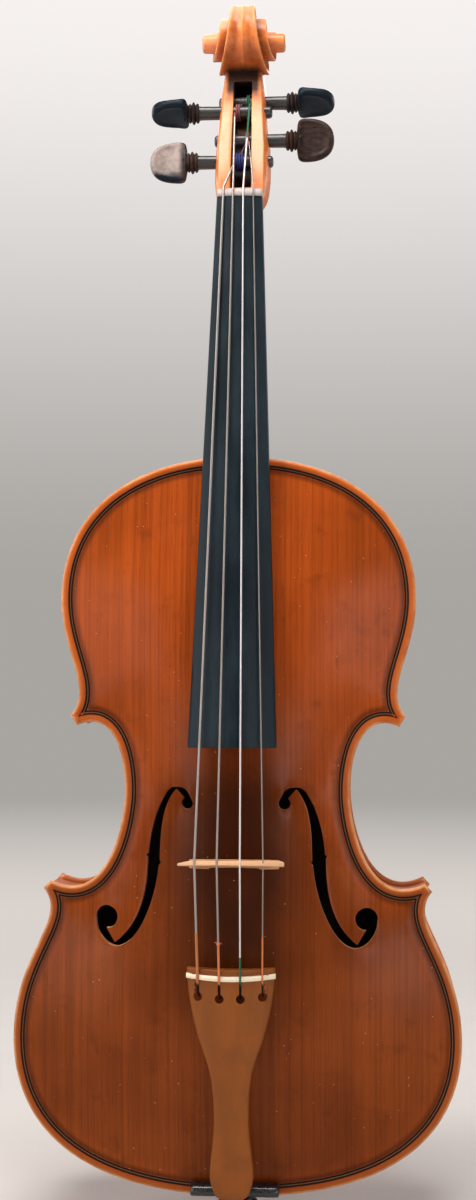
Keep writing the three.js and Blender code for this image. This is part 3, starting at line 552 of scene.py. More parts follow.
def spruce_material():
    """Orange-brown varnish over upright grain: dark in the middle, partly as a painted shadow of the
    fingerboard and strings, browner below, lighter at the rim, partly as a painted highlight. Painted shade
    lies beside the tailpiece and in the channel, and painted light beside the fingerboard and on the upper
    edge.
    """
    s = Shader(
        "spruce_varnish", Coat_Weight=0.14, Coat_Roughness=0.24, Specular_IOR_Level=0.1,
        Specular_Tint=(1, 0.5, 0.25, 1),
    )
    x, h = s.axis(0), s.axis(2) - BODY_FOOT
    rim = s.attribute("depth")
    inside = s.spread(rim, 3.4, 4.6, 0.15, 1.0)
    grain = s.noise(0.62, 2, 0.6, s.scaled(1, 0, 0.006))
    fibre = s.noise(1.9, 3, 0.6, s.scaled(1, 0, 0.025))
    band = s.noise(0.09, 3, 0.6, s.scaled(1, 0, 0.002))
    cloud = s.noise(0.016, 3)
    mottled = s.noise(0.07, 5, 0.65)
    patchy = s.spread(s.noise(0.015, 2, 0.5), 0.3, 0.7)
    bright = s.blend(patchy, (170, 74, 20), (144, 61, 15))
    brown = s.blend(patchy, (128, 62, 22), (100, 45, 15))
    low = s.spread(h + cloud * 70.0, 330, 150)
    s.ground(low * 0.88, bright, brown)
    across = abs(x + 1.0) / 50.0
    upwards = abs(h - 182.0) / 96.0
    radius = s.math("SQRT", across ** 2.0 + upwards ** 2.0)
    # Darker varnish in the middle of the belly, together with a painted shadow of the fingerboard and
    # strings.
    middle = s.spread(radius + mottled * 0.3, 1.3, 0.45)
    s.paint(middle * 0.94, (46, 17, 4))
    # Painted shadow of the tailpiece on the belly.
    tail_shadow = s.spread(across, 1.0, 0.4) * s.spread(h, 120, 90)
    s.paint(tail_shadow * 0.1, (52, 22, 9))
    # Painted highlight on the upper bout beside the fingerboard.
    board_side_highlight = s.spread(across, 1.5, 0.7) * s.spread(h, 250, 310)
    s.paint(board_side_highlight * 0.24, (206, 90, 30))
    near_rim = s.spread(rim + mottled * 12.0, 24, 8)
    s.paint(near_rim * 0.35, (166, 72, 20))
    # Painted shade in the channel inside the purfling.
    channel = s.spread(rim, 6.2, 7.0) * s.spread(rim, 10.5, 7.2)
    s.paint(channel * 0.65, (50, 19, 8))
    edge = s.spread(rim, 4.2, 3.2)
    # The rounded edge's tone, lighter towards the top: painted light from above.
    edge_tone_lit_from_above = s.blend(s.spread(h, 150, 330), (154, 82, 36), (202, 104, 44))
    s.paint(edge * s.spread(mottled, 0.3, 0.7, 0.45, 0.8), edge_tone_lit_from_above)
    ledge = s.spread(rim, 2.0, 3.4) * s.spread(rim, 4.3, 3.9)
    s.paint(ledge * s.spread(h, 200, 340, 0.5, 0.25), (138, 58, 22))
    # Pale wear along the outer edge, together with a painted highlight on its rounding.
    worn = s.spread(rim, 2.0, 0.5) * s.spread(mottled, 0.3, 0.65, 0.4, 1.0)
    s.paint(worn * 0.6, (242, 178, 122))
    blotch = s.spread(mottled, 0.52, 0.78, 0.0, 0.4)
    s.paint(blotch * inside, (62, 24, 9))
    s.paint(s.spread(band, 0.5, 0.75, 0.0, 0.2) * inside, (80, 30, 10))
    s.paint(s.spread(band, 0.48, 0.28, 0.0, 0.12) * inside, (202, 92, 34))
    s.paint(s.spread(grain, 0.4, 0.7, 0.0, 0.3) * inside, (60, 22, 7))
    s.paint(s.spread(fibre, 0.48, 0.76, 0.0, 0.4) * inside, (64, 25, 9))
    specks = s.node("ShaderNodeTexVoronoi", "Distance", Vector=s.scaled(1, 1, 1), Scale=0.2)
    dust = s.spread(specks, 0.075, 0.04) * s.spread(s.noise(0.08, 1), 0.45, 0.6)
    s.paint(dust * 0.5, (222, 176, 140))
    fine = s.bump(grain * 0.6 + fibre, 0.3, 0.05)
    return s.finished(s.spread(mottled, 0.3, 0.8, 0.32, 0.44) + dust * 0.2, s.bump(cloud, 0.25, 0.5, fine))


def maple_material(name, flame_axis, long_axis, warm=0.0):
    """Flamed maple under orange varnish. The stripes cross the grain and lean away from the centre joint."""
    s = Shader(name, Coat_Weight=0.2, Coat_Roughness=0.22, Specular_IOR_Level=0.2)
    along = s.axis(long_axis)
    lean = abs(s.axis(flame_axis)) * -0.22
    at = along + lean + s.noise(0.02, 3) * 14.0
    width = s.noise(0.05, 2, vector=s.node("ShaderNodeCombineXYZ", 0, X=at))
    stripes = s.math("SINE", at * 0.8 + width * 14.0)
    fading = s.noise(0.035, 3, 0.6)
    flame = s.spread(stripes, -0.9, 0.9) * s.spread(fading, 0.35, 0.62, 0.15, 1.0)
    squeeze = [1.0, 1.0, 1.0]
    squeeze[long_axis] = 0.03
    fibre = s.noise(1.5, 4, 0.7, s.scaled(*squeeze))
    cloud = s.noise(0.02, 3)
    mottled = s.noise(0.09, 5, 0.65)
    dark = s.blend(cloud, (148, 68, 26), (168, 80, 34))
    light = s.blend(cloud, (190, 100, 44), (206, 116, 54))
    s.ground(flame * 0.7, dark, light)
    s.paint(warm, (198, 104, 46))
    s.paint(s.spread(mottled, 0.5, 0.76, 0.0, 0.35), (104, 44, 18))
    s.paint(s.spread(fibre, 0.5, 0.8, 0.0, 0.3), (104, 44, 18))
    if name == "back_maple":
        rim = s.attribute("depth")
        # Painted shade in the channel inside the purfling.
        channel = s.spread(rim, 6.2, 7.0) * s.spread(rim, 12.0, 7.2)
        s.paint(channel * 0.5, (66, 27, 12))
        # Lighter towards the edge: worn varnish together with a painted glint along it.
        s.paint(s.spread(rim, 3.4, 1.2) * 0.45, (224, 142, 80))
        joint = s.spread(abs(s.axis(0)), 0.45, 0.15)
        s.paint(joint * s.spread(rim, 6.0, 8.0, 0.0, 0.6), (70, 30, 14))
    fine = s.bump(fibre, 0.25, 0.05)
    return s.finished(s.spread(mottled, 0.3, 0.8, 0.3, 0.44), s.bump(cloud, 0.2, 0.5, fine))


def scroll_material():
    """Thin varnish on the carved scroll and pegbox: bright honey on edges, painted shade in the hollows,
    crevices, well and throat and on the lower turn, and pale wear with painted highlights on the upper and
    left faces.
    """
    s = Shader("scroll_maple", Coat_Weight=0.07, Coat_Roughness=0.22, Specular_IOR_Level=0.22)
    h = s.axis(2)
    wander = s.noise(0.05, 3)
    stripes = s.math("SINE", (h + wander * 14.0) * 1.3)
    flame = s.spread(stripes, -0.6, 0.9) * s.spread(s.noise(0.1, 2), 0.35, 0.6)
    fibre = s.noise(1.4, 4, 0.7, s.scaled(1, 1, 0.05))
    mottled = s.noise(0.16, 4, 0.65)
    s.ground(s.spread(mottled, 0.3, 0.7), (238, 134, 66), (204, 104, 48))
    s.paint(flame * 0.3, (230, 142, 74))
    s.paint(s.spread(fibre, 0.55, 0.85, 0.0, 0.35), (110, 48, 20))
    relief = s.attribute("relief")
    # Painted shade in the hollows, from how far each point stands out.
    hollow = s.spread(relief, 0.53, 0.2)
    s.paint(hollow * 0.9, (80, 30, 12))
    # Painted shade in the crevices beside the turns and in the flutes.
    crevice = s.attribute("crevice") * s.spread(mottled, 0.25, 0.6, 0.55, 1.0)
    s.paint(crevice * 0.9, (100, 40, 14))
    # Painted shade on the lower turn of the scroll.
    lower = s.spread(h, 664, 646) * s.spread(h, 640, 643)
    s.paint(lower * 0.6, (150, 64, 24))
    ridge = s.spread(relief + mottled * 0.1, 0.6, 0.95)
    s.paint(ridge * 0.4, (240, 172, 104))
    # Worn pale varnish on the fronts of the cheeks, and painted highlights on the scroll's upward and left
    # faces.
    bare = s.attribute("bare") * s.spread(mottled, 0.2, 0.6, 0.5, 1.0)
    s.paint(bare, (238, 196, 164))
    # Painted shade down in the pegbox's well.
    s.paint(s.attribute("well") * 0.93, (16, 14, 15))
    # Painted shadow in the throat under the scroll.
    throat = s.attribute("throat")
    s.paint(throat * 0.97, (16, 6, 3))
    varnish = s.spread(mottled, 0.3, 0.8, 0.26, 0.42)
    fine = s.bump(fibre, 0.22, 0.05)
    return s.finished(varnish + s.math("MAXIMUM", throat, bare * 0.5) * 0.5, s.bump(mottled, 0.2, 0.3, fine))


def ebony_material():
    """Black wood with a blue-grey bloom, fine upright pores and greasy tracks under the strings."""
    s = Shader("ebony_board", Specular_IOR_Level=0.18)
    fibre = s.noise(1.2, 5, 0.75, s.scaled(1, 1, 0.02))
    pores = s.noise(3.2, 3, 0.7, s.scaled(1, 1, 0.06))
    smear = s.noise(0.05, 4, 0.65, s.scaled(1, 1, 0.3))
    s.ground(s.spread(smear, 0.3, 0.7), (12, 25, 32), (26, 41, 48))
    s.paint(s.spread(fibre, 0.42, 0.75, 0.0, 0.5), (9, 12, 14))
    s.paint(s.spread(pores, 0.62, 0.8, 0.0, 0.175), (92, 100, 102))
    dust = s.spread(s.noise(0.9, 4, 0.8), 0.62, 0.82, 0.0, 0.11)
    s.paint(dust, (140, 142, 140))
    return s.finished(s.spread(smear, 0.3, 0.75, 0.36, 0.55), s.bump(fibre + pores, 0.3, 0.06))


def saddle_material():
    """Polished black wood with silvery scratches and chips."""
    s = Shader("ebony_saddle", Specular_IOR_Level=0.4, Coat_Weight=0.5, Coat_Roughness=0.12)
    scratch = s.noise(0.9, 4, 0.75, s.scaled(1, 0.5, 0.3), 1.6)
    chips = s.noise(0.35, 5, 0.8, s.scaled(1, 1, 1), 0.8)
    s.ground(s.spread(chips, 0.35, 0.7), (8, 10, 14), (24, 26, 30))
    s.paint(s.spread(scratch, 0.63, 0.7, 0.0, 0.6), (150, 154, 158))
    s.paint(s.spread(chips, 0.64, 0.7, 0.0, 0.6), (122, 116, 108))
    return s.finished(s.spread(chips, 0.35, 0.7, 0.2, 0.45), s.bump(scratch + chips, 0.5, 0.25))


def rosewood_material(name, dark, light, dust, lower_rim=None, rings=None):
    """Turned hardwood with brown streaks along the head, a browner collar and a share of pale dust.

    Below the height lower_rim the head is painted near black as shade, and has no dust. rings is the centre
    of a ringed figure."""
    s = Shader(name, Specular_IOR_Level=0.1)
    streak = s.noise(0.32, 5, 0.7, s.scaled(0.25, 1, 1), 0.6)
    fibre = s.noise(1.9, 4, 0.75, s.scaled(0.08, 1, 1))
    mottled = s.noise(0.2, 4, 0.65)
    s.ground(s.spread(streak, 0.35, 0.68), dark, light)
    s.paint(s.spread(fibre, 0.45, 0.75, 0.0, 0.5), (22, 20, 21))
    out = abs(s.axis(0))
    if rings:
        aside = (out - rings[0]) * 0.62
        above = s.axis(2) - (rings[1] + BODY_FOOT)
        away = s.math("SQRT", aside ** 2.0 + above ** 2.0)
        turns = s.math("SINE", (away + streak * 3.0) * 2.1)
        s.paint(s.spread(turns, 0.0, 1.0, 0.0, 0.7), (20, 12, 10))
    collar = s.spread(out, 23, 25) * s.spread(out, 33, 31)
    s.paint(collar * s.spread(mottled, 0.3, 0.6, 0.1, 0.6), (66, 48, 38))
    head = s.spread(out, 33, 37)
    bloom = s.spread(mottled, 0.3, 0.65, 0.55, 1.0) * (head * dust)
    if lower_rim:
        level = s.axis(2) + mottled * 3.0
        above_rim = s.spread(level, lower_rim + BODY_FOOT, lower_rim + BODY_FOOT + 3.5)
        bloom = bloom * above_rim
        # Painted shade on the lower rim of the head.
        shaded_rim = head * (1.0 - above_rim)
        s.paint(shaded_rim * 0.85, (12, 24, 34))
    s.paint(bloom, (184, 166, 158))
    return s.finished(s.spread(mottled, 0.35, 0.75, 0.3, 0.52), s.bump(fibre, 0.25, 0.06))


def boxwood_material():
    """The tailpiece: honey brown, with darker smudges and painted shade, near black, on the walls of its
    keyholes.
    """
    s = Shader("boxwood", Specular_IOR_Level=0.25, Coat_Weight=0.08, Coat_Roughness=0.3)
    fibre = s.noise(1.3, 5, 0.7, s.scaled(1, 1, 0.03))
    cloud = s.noise(0.06, 3, 0.6, s.scaled(1, 1, 0.3))
    flecks = s.noise(2.2, 2, 0.6, s.scaled(1, 1, 0.12))
    s.ground(s.spread(cloud, 0.3, 0.7), (124, 66, 12), (140, 76, 16))
    s.paint(s.spread(fibre, 0.45, 0.8, 0.0, 0.35), (110, 56, 24))
    s.paint(s.spread(flecks, 0.66, 0.8, 0.0, 0.25), (196, 122, 66))
    smudge = s.spread(s.noise(0.045, 4, 0.6), 0.48, 0.7, 0.0, 0.3)
    s.paint(smudge, (104, 50, 12))
    # Painted shade on the walls of the keyholes and slots.
    s.paint(s.spread(s.attribute("hollow"), 0.0, 0.5, 0.0, 0.92), (24, 15, 8))
    return s.finished(s.spread(cloud, 0.3, 0.7, 0.36, 0.48), s.bump(fibre, 0.2, 0.05))


def bare_maple_material():
    """The bridge: unvarnished maple with brown ray flecks and a painted highlight along the top of its
    crown.
    """
    s = Shader("bridge_maple", Specular_IOR_Level=0.35)
    flecks = s.noise(1.1, 3, 0.6, s.scaled(0.35, 1, 1.6))
    fibre = s.noise(2.0, 4, 0.7, s.scaled(0.06, 1, 1))
    cloud = s.noise(0.12, 3)
    s.ground(s.spread(cloud, 0.3, 0.7), (208, 158, 114), (194, 140, 98))
    # Painted highlight along the top of the crown.
    crown = (s.axis(0) - STRING_SHIFT) ** 2.0 / CROWN_CURVE + CROWN_Y
    below = s.axis(1) - crown
    s.paint(s.spread(below, 0.4, 1.2, 0.7, 0.0), (222, 178, 136))
    s.paint(s.spread(flecks, 0.56, 0.72, 0.0, 0.45), (186, 128, 84))
    s.paint(s.spread(fibre, 0.5, 0.8, 0.0, 0.3), (190, 140, 92))
    return s.finished(s.spread(cloud, 0.3, 0.7, 0.5, 0.62), s.bump(flecks + fibre, 0.25, 0.05))


def pale_wood_material(name, light, dark):
    """Bare wood inside the body, seen only through the sound holes."""
    s = Shader(name, Specular_IOR_Level=0.3)
    fibre = s.noise(1.4, 4, 0.7, s.scaled(1, 1, 0.05))
    cloud = s.noise(0.05, 3)
    s.ground(s.spread(cloud, 0.3, 0.7), light, dark)
    s.paint(s.spread(fibre, 0.5, 0.8, 0.0, 0.4), [0.75 * c for c in dark])
    return s.finished(s.spread(fibre, 0.3, 0.8, 0.6, 0.75), s.bump(fibre, 0.3, 0.08))


def plain_material(name, tone, other, rough, grain_mm, bump_mm, shine=0.45, squeeze=(1, 1, 1)):
    """A finely mottled surface of two close tones."""
    s = Shader(name, Specular_IOR_Level=shine)
    grains = s.noise(1 / grain_mm, 4, 0.65, s.scaled(*squeeze))
    cloud = s.noise(0.2 / grain_mm, 3)
    s.ground(s.spread(grains, 0.3, 0.7), tone, other)
    s.paint(s.spread(cloud, 0.45, 0.8, 0.0, 0.3), other)
    return s.finished(s.spread(grains, 0.3, 0.7, rough - 0.06, rough + 0.08), s.bump(grains, 0.3, bump_mm))


def wound_material(name, tone, other, rough, metallic, pitch_mm, bump_mm):
    """Wire or silk wound round a cord that runs upwards: fine slanted rings, painted near black as shade
    where it lies in the tailpiece's slots.
    """
    s = Shader(name, Metallic=metallic, Specular_IOR_Level=0.5)
    slant = s.axis(2) + s.axis(0) * 0.25
    rings = s.math("SINE", slant * (2 * math.pi / pitch_mm))
    fuzz = s.noise(1.2, 3)
    s.ground(s.spread(rings, -1.0, 0.6), other, tone)
    s.paint(s.spread(fuzz, 0.5, 0.8, 0.0, 0.35), other)
    # Painted shade on the part that lies down in the tailpiece's slots.
    slot = BODY_FOOT + SLOT_TOP
    slot_shade = s.spread(s.axis(2), slot, slot - 2, 0.0, 0.92)
    s.paint(slot_shade, (20, 11, 8))
    return s.finished(s.spread(fuzz, 0.3, 0.7, rough - 0.05, rough + 0.08), s.bump(rings, 0.4, bump_mm))


spruce = spruce_material()
back_maple = maple_material("back_maple", 0, 2)
rib_maple = maple_material("rib_maple", 1, 2, 0.15)
scroll_maple = scroll_material()
ebony = ebony_material()
saddle_ebony = saddle_material()
rosewood = rosewood_material("rosewood", (40, 36, 37), (66, 50, 44), 0.0)
PEG_WOODS = {
    "c": rosewood_material("rosewood_dusty", (40, 36, 38), (72, 58, 52), 0.7, lower_rim=570),
    "g": rosewood_material("rosewood_black", (4, 21, 32), (12, 30, 42), 0.01),
    "d": rosewood_material("rosewood_dark", (4, 20, 32), (12, 30, 42), 0.01),
    "a": rosewood_material("rosewood_brown", (32, 21, 18), (62, 40, 32), 0.04, rings=(42, 589)),
}
polished = plain_material("peg_shaft_polish", (30, 32, 33), (52, 48, 45), 0.34, 1.2, 0.03, 0.7, (0.1, 1, 1))
boxwood = boxwood_material()
bridge_maple = bare_maple_material()
inner_wood = pale_wood_material("inner_wood", (206, 172, 124), (186, 150, 104))
# Dark inner faces of the plates and ribs: painted shade for the inside of the body.
shaded_inner_wood = pale_wood_material("inner_wood_painted_shade", (58, 44, 34), (38, 30, 26))
cut_wood = pale_wood_material("cut_spruce", (196, 146, 102), (134, 84, 50))
bone = plain_material("bone", (190, 180, 174), (166, 154, 147), 0.42, 0.6, 0.04, 0.4, (1, 1, 0.3))
white_bone = plain_material(
    "white_bone", (250, 240, 212), (238, 224, 190), 0.38, 0.7, 0.03, 0.4, (0.2, 1, 1),
)
purfling_dark = plain_material("purfling_dark", (12, 7, 4), (24, 13, 7), 0.5, 0.5, 0.04, 0.12)
purfling_mid = plain_material("purfling_mid", (112, 74, 44), (84, 52, 30), 0.5, 0.5, 0.04, 0.12)
nylon = plain_material("nylon", (34, 34, 36), (50, 50, 52), 0.5, 0.4, 0.03)
WIRES = {
    "c": wound_material("string_steel_c", (172, 164, 158), (150, 142, 136), 0.36, 0.8, 0.4, 0.02),
    "g": wound_material("string_steel_g", (166, 156, 148), (142, 133, 126), 0.36, 0.8, 0.4, 0.02),
    "d": wound_material("string_steel_d", (230, 224, 222), (208, 201, 199), 0.32, 0.6, 0.35, 0.015),
    "a": wound_material("string_steel_a", (152, 142, 136), (128, 118, 112), 0.36, 0.8, 0.35, 0.015),
}
silks = {
    "copper": wound_material("silk_copper", (206, 128, 70), (146, 78, 40), 0.7, 0.0, 0.5, 0.04),
    "orange": wound_material("silk_orange", (226, 138, 84), (170, 84, 46), 0.75, 0.0, 0.5, 0.05),
    "green": wound_material("silk_green", (36, 104, 68), (22, 66, 44), 0.7, 0.0, 0.5, 0.04),
    "blue": wound_material("silk_blue", (44, 52, 138), (26, 30, 84), 0.7, 0.0, 0.4, 0.05),
    "maroon": wound_material("silk_maroon", (140, 70, 74), (84, 38, 44), 0.7, 0.0, 0.4, 0.05),
    "pink": wound_material("silk_pink", (206, 128, 132), (160, 84, 92), 0.7, 0.0, 0.4, 0.05),
}
for node_name, node_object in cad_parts.items():
    if node_name.startswith(("lining_", "block_", "upper_block", "lower_block", "bass_bar", "sound_post")):
        node_object.data.materials.clear()
        node_object.data.materials.append(inner_wood)


# Plates
def face_middles(points, faces):
    """The middle of each face, and how far it lies inside the body's outline."""
    middles = np.asarray([np.mean([points[i] for i in face], axis=0) for face in faces])
    return middles, edge_distance(middles[:, [0, 2]], [BODY_OUTLINE])


def sound_hole(side):
    """Outline of an f-hole, from its upper eye down the stem to the lower eye."""
    line = [(32.9, 222.3), (29, 218)]
    line += arc((26.6, 214.7), 3.3, 0.95, 2.6 - 2 * math.pi, 16)
    line += bezier((25.5, 219.5), (26.6, 222.4), (29.4, 223.5), (32.8, 223.5), 8)
    line += bezier((32.8, 223.5), (36.2, 223.6), (38.5, 221), (40, 217.8), 8)
    line += bezier((40, 217.8), (44.6, 210), (48, 198), (48.6, 186.6), 14)
    line += [(48.6, 186.6), (50, 185.7), (49.1, 184.2)]
    line += bezier((49.1, 184.2), (49.2, 170), (50.6, 150), (66.4, 138), 18)[1:]
    line += [(66.4, 138), (71.1, 146)]
    line += arc((71.4, 151.7), 6.2, -1.6, -0.25 - 2 * math.pi, 22)[1:]
    line += bezier((77.2, 150.2), (77.2, 143), (72, 136.4), (64.9, 136.2), 12)
    line += bezier((64.9, 136.2), (54.5, 137.4), (44.6, 157), (42.1, 181), 18)
    line += [(42.1, 181), (40.8, 182.2), (41.7, 183.4)]
    line += bezier((41.7, 183.4), (41.4, 197), (41.2, 213), (32.9, 222.3), 16)[1:]
    return [(side * x, y) for x, y in line]


def plate(name, material, rise, side, outer, holes, node):
    """An arched plate. side is -1 for the front of the instrument and 1 for its back."""
    insets = [0.12, 0.35, 0.7, 1.2, 1.8, 2.5, 3.3, 4.2, 5.2, 6.3, 7.6, 9.2]
    corners, triangles = triangulated(outer, holes, insets, [0.35, 1.2], 2.6)
    depth = edge_distance(corners, [BODY_OUTLINE])
    depth *= is_inside(corners, BODY_OUTLINE)
    free = np.clip((depth - 9) / 8, 0, 1)
    front = relaxed(outer_height(corners, rise, depth), triangles, free, 60)
    back = relaxed(inner_height(corners, rise, depth), triangles, free, 60)
    button = corners[:, 1] > BODY_LENGTH - 3
    button &= np.abs(corners[:, 0]) < 12.4
    if side > 0:
        front[button] = RIB_HALF + 4 - 0.6 * np.exp(-edge_distance(corners[button], [outer]) / 0.8)
        back[button] = RIB_HALF + 0.05
        depth[button] = edge_distance(corners[button], [outer]) + 1.5
    points, faces = two_sided(corners, triangles, side * front, side * back, lambda x, y, z: (x, z, y))
    centre, inset = face_middles(points, faces)
    number = np.arange(len(faces))
    bare = (number >= len(triangles)) & (number < 2 * len(triangles)) & (inset > RIB_INSET)
    slots = np.where(bare & (centre[:, 2] < BODY_LENGTH - 2), 1, 0)
    if side > 0:
        plain = (centre[:, 2] < BODY_LENGTH - 4) | (np.abs(centre[:, 0]) > 16)
        lines = (inset > PURFLING[0]) & (inset < PURFLING[3]) & (centre[:, 1] > RIB_HALF + 2.5) & plain
        slots[lines] = 2
        slots[lines & (inset > PURFLING[1]) & (inset < PURFLING[2])] = 3
    if holes:
        walls = (number >= 2 * len(triangles)) & (edge_distance(centre[:, [0, 2]], holes) < 0.2)
        slots[walls] = 4
    mesh_piece(
        name, points, faces, [material, shaded_inner_wood, purfling_dark, purfling_mid, cut_wood], replaces=[node],
        slots=slots,
        attributes={"depth": np.concatenate([depth, depth])},
    )


plate("belly", spruce, TOP_RISE, -1, BODY_OUTLINE, [sound_hole(1), sound_hole(-1)], "top_plate")
upper_half = [p for p in half_outline(0) if not (p[1] > BODY_LENGTH - 20 and p[0] < 12.9)]
upper_half += [(12.5, BODY_LENGTH + 0.4), (12.2, BODY_LENGTH + 2)]
upper_half += arc((0, BODY_LENGTH + 4), 12.2, 0, math.pi / 2, 18) + [(0, BODY_LENGTH + 16.2)]
back_outline = upper_half + mirrored(upper_half)[1:-1]
plate("back", back_maple, BACK_RISE, 1, back_outline, [], "back_plate")


def purfling_strip(name, side, node):
    """The inlaid strip of one half of the belly: dark, brown and dark again."""
    lines = [half_outline(inset) for inset in PURFLING]
    outer = lines[0] + lines[3][::-1]
    corners, triangles = triangulated(outer, [], [], [], 0, creases=lines[1:3])
    outward = outer_height(corners, TOP_RISE)
    points, faces = two_sided(
        corners, triangles, outward + 0.05, outward - 0.9, lambda x, y, z: (side * x, -z, y),
    )
    inset = face_middles(points, faces)[1]
    slots = np.where((inset > PURFLING[1]) & (inset < PURFLING[2]), 1, 0)
    mesh_piece(name, points, faces, [purfling_dark, purfling_mid], replaces=[node], slots=slots)


purfling_strip("inlay_right", 1, "purfling_top_right")
purfling_strip("inlay_left", -1, "purfling_top_left")


# Ribs
def rib_runs(inset):
    lower, middle = cut_at(run(LOWER, inset), run(MIDDLE, inset))
    middle, upper = cut_at(middle, run(UPPER, inset))
    return {"lower": lower, "middle": middle, "upper": upper}


outside_runs = rib_runs(RIB_INSET)
inside_runs = rib_runs(RIB_INSET + RIB_THICKNESS)
for bout in ("lower", "middle", "upper"):
    for side_name, side in (("left", -1), ("right", 1)):
        ring = outside_runs[bout] + inside_runs[bout][::-1]
        rib_corners, rib_triangles = triangulated(ring, [], [], [], 0)
        count = len(rib_corners)
        points, faces = two_sided(
            rib_corners, rib_triangles, [RIB_HALF + 0.1] * count, [-RIB_HALF - 0.1] * count,
            lambda x, y, z, side=side: (side * x, z, y),
        )
        inset = face_middles(points, faces)[1]
        slots = np.where(inset > RIB_INSET + RIB_THICKNESS * 0.8, 1, 0)
        mesh_piece(
            f"side_{bout}_{side_name}", points, faces, [rib_maple, shaded_inner_wood],
            replaces=[f"rib_{bout}_{side_name}"], slots=slots,
        )


# Neck, pegbox and scroll
def glue_y(h):
    return GLUE_Y_AT_NUT - (NUT_FOOT - h) * GLUE_SLOPE


def table(rows, at):
    """A value between the rows of (position, value), eased at each row."""
    positions = [row[0] for row in rows]
    values = [row[1] for row in rows]
    if at <= positions[0]:
        return values[0]
    for k in range(len(rows) - 1):
        if at <= positions[k + 1]:
            before = rows[max(k - 1, 0)]
            after = rows[min(k + 2, len(rows) - 1)]
            span = positions[k + 1] - positions[k]
            t = (at - positions[k]) / span
            in_slope = (values[k + 1] - before[1]) / max(positions[k + 1] - before[0], 1e-9) * span
            out_slope = (after[1] - values[k]) / max(after[0] - positions[k], 1e-9) * span
            t2, t3 = t * t, t * t * t
            return (
                (2 * t3 - 3 * t2 + 1) * values[k] + (t3 - 2 * t2 + t) * in_slope
                + (3 * t2 - 2 * t3) * values[k + 1] + (t3 - t2) * out_slope
            )
    return values[-1]


def neck_shaft():
    """The round back of the neck running into the heel, flat where the fingerboard is glued."""
    halves = [(399, 16.4), (424, 16.3), (440, 15.8), (500, 14), (NUT_FOOT, 12.7)]
    depths = [
        (399, 63.2), (406, 62), (414, 58), (419, 49), (424, 39), (430, 30.5), (438, 22.5), (448, 17.6),
        (462, 15.8), (500, 14.2), (NUT_FOOT, 13.6),
    ]
    rings = []
    for h in [399 + 0.5 * i for i in range(0, 110)] + [454 + 2.5 * i for i in range(1, 41)]:
        half, depth = table(halves, h), table(depths, h)
        top = glue_y(h)
        depth = min(depth, RIB_HALF - 0.1 - top) if h < 421 else depth
        ring = []
        for i in range(33):
            a = math.pi * i / 32
            y = top + depth * math.sin(a)
            width = half * math.copysign(abs(math.cos(a)) ** 0.85, math.cos(a))
            heel = clamp((depth - 22) / 30, 0, 1)
            taper = mix(1, 0.68 + 0.32 * clamp((RIB_HALF - y) / 40, 0, 1), heel)
            square = math.copysign(min(half, half * abs(math.cos(a)) ** 0.32), math.cos(a)) * taper
            ring.append((mix(width, square, heel), y, h))
        rings.append(ring)
    return loft(rings)


def pegbox_front(h):
    return -13.8 + (h - NUT_FOOT) * 0.17 + (h - NUT_FOOT) ** 2 * 0.0017


def pegbox():
    """Two bulging cheeks round a deep well, with a fluted back that ends in the chin."""
    backs = bezier((-2.4, 544), (13, 556), (20, 590), (EYE_Y + 22.6, EYE_HEIGHT - 7), 44)
    backs.append((EYE_Y + 22.6, EYE_HEIGHT - 7))
    levels = sorted(backs, key=lambda p: p[1])
    rings = []

    def ring_at(h, back_y, with_well):
        front = glue_y(h) + 0.2 if h < NUT_FOOT else pegbox_front(min(h, 632))
        half = mix(13.6, 10, clamp((h - 585) / 60, 0, 1))
        flare = 2.2 * clamp((h - 545) / 14, 0, 1) * clamp((614 - h) / 40, 0.1, 1)
        half *= mix(0.55, 1, math.sin(math.pi / 2 * clamp((h - 543) / 13, 0, 1)))
        bulge = clamp((h - NUT_FOOT) * 0.12, 0, 1.6) * (1 if h < 616 else clamp((640 - h) / 24, 0.3, 1))
        depth = back_y - front
        up_well = clamp((h - WELL_BOTTOM) / (WELL_TOP - WELL_BOTTOM), 0, 1)
        well_half = mix(6, 5.1, up_well)
        floor = mix(5, 26, up_well) if with_well else front
        chamfer = min(0.7, depth * 0.1)
        right = [
            (well_half - (0.4 if with_well else 0), floor), (well_half, mix(floor, front, 0.5)),
            (well_half, front),
        ]
        right += [(half - 1.6, front), (half - 1.0, front + 0.15), (half - 0.6, front + chamfer)]
        for i in range(1, 9):
            share = i / 9
            swell = (bulge + 0.6) * math.sin(math.pi * min(1, share * 1.08)) ** 0.8
            right.append((half - 0.6 + swell + flare * share, front + depth * share))
        edge = half - 1.6 + 0.8 * flare
        right += [(edge + 0.8, front + depth * 0.955), (edge, front + depth * 0.99)]
        flute = clamp((h - 562) / 12, 0, 1) * min(1.5, depth * 0.06)
        for i in range(1, 9):
            u = 1 - i / 8
            dip = flute * math.sin(math.pi * clamp(u / 0.94, 0, 1)) ** 1.3
            right.append((edge * u, front + depth - dip))
        left = [
            (-x * (1 - 0.05 * clamp(flare, 0, 1) * clamp((y - front) / 8, 0, 1)), y)
            for x, y in reversed(right[:-1])
        ]
        return [(x, y, h) for x, y in right + left]

    for y, h in levels:
        inside = WELL_BOTTOM < h < WELL_TOP
        rings.append(ring_at(h, y, inside))
        for limit in (WELL_BOTTOM, WELL_TOP):
            following = [p for p in levels if p[1] > h]
            if following and h < limit < following[0][1]:
                share = (limit - h) / (following[0][1] - h)
                at = mix(y, following[0][0], share)
                entering = limit == WELL_BOTTOM
                rings.append(ring_at(limit, at, not entering))
                rings.append(ring_at(limit + 0.05, at, entering))
    return loft(rings)


def volute_radius(turn):
    return 24 - 7.75 * turn


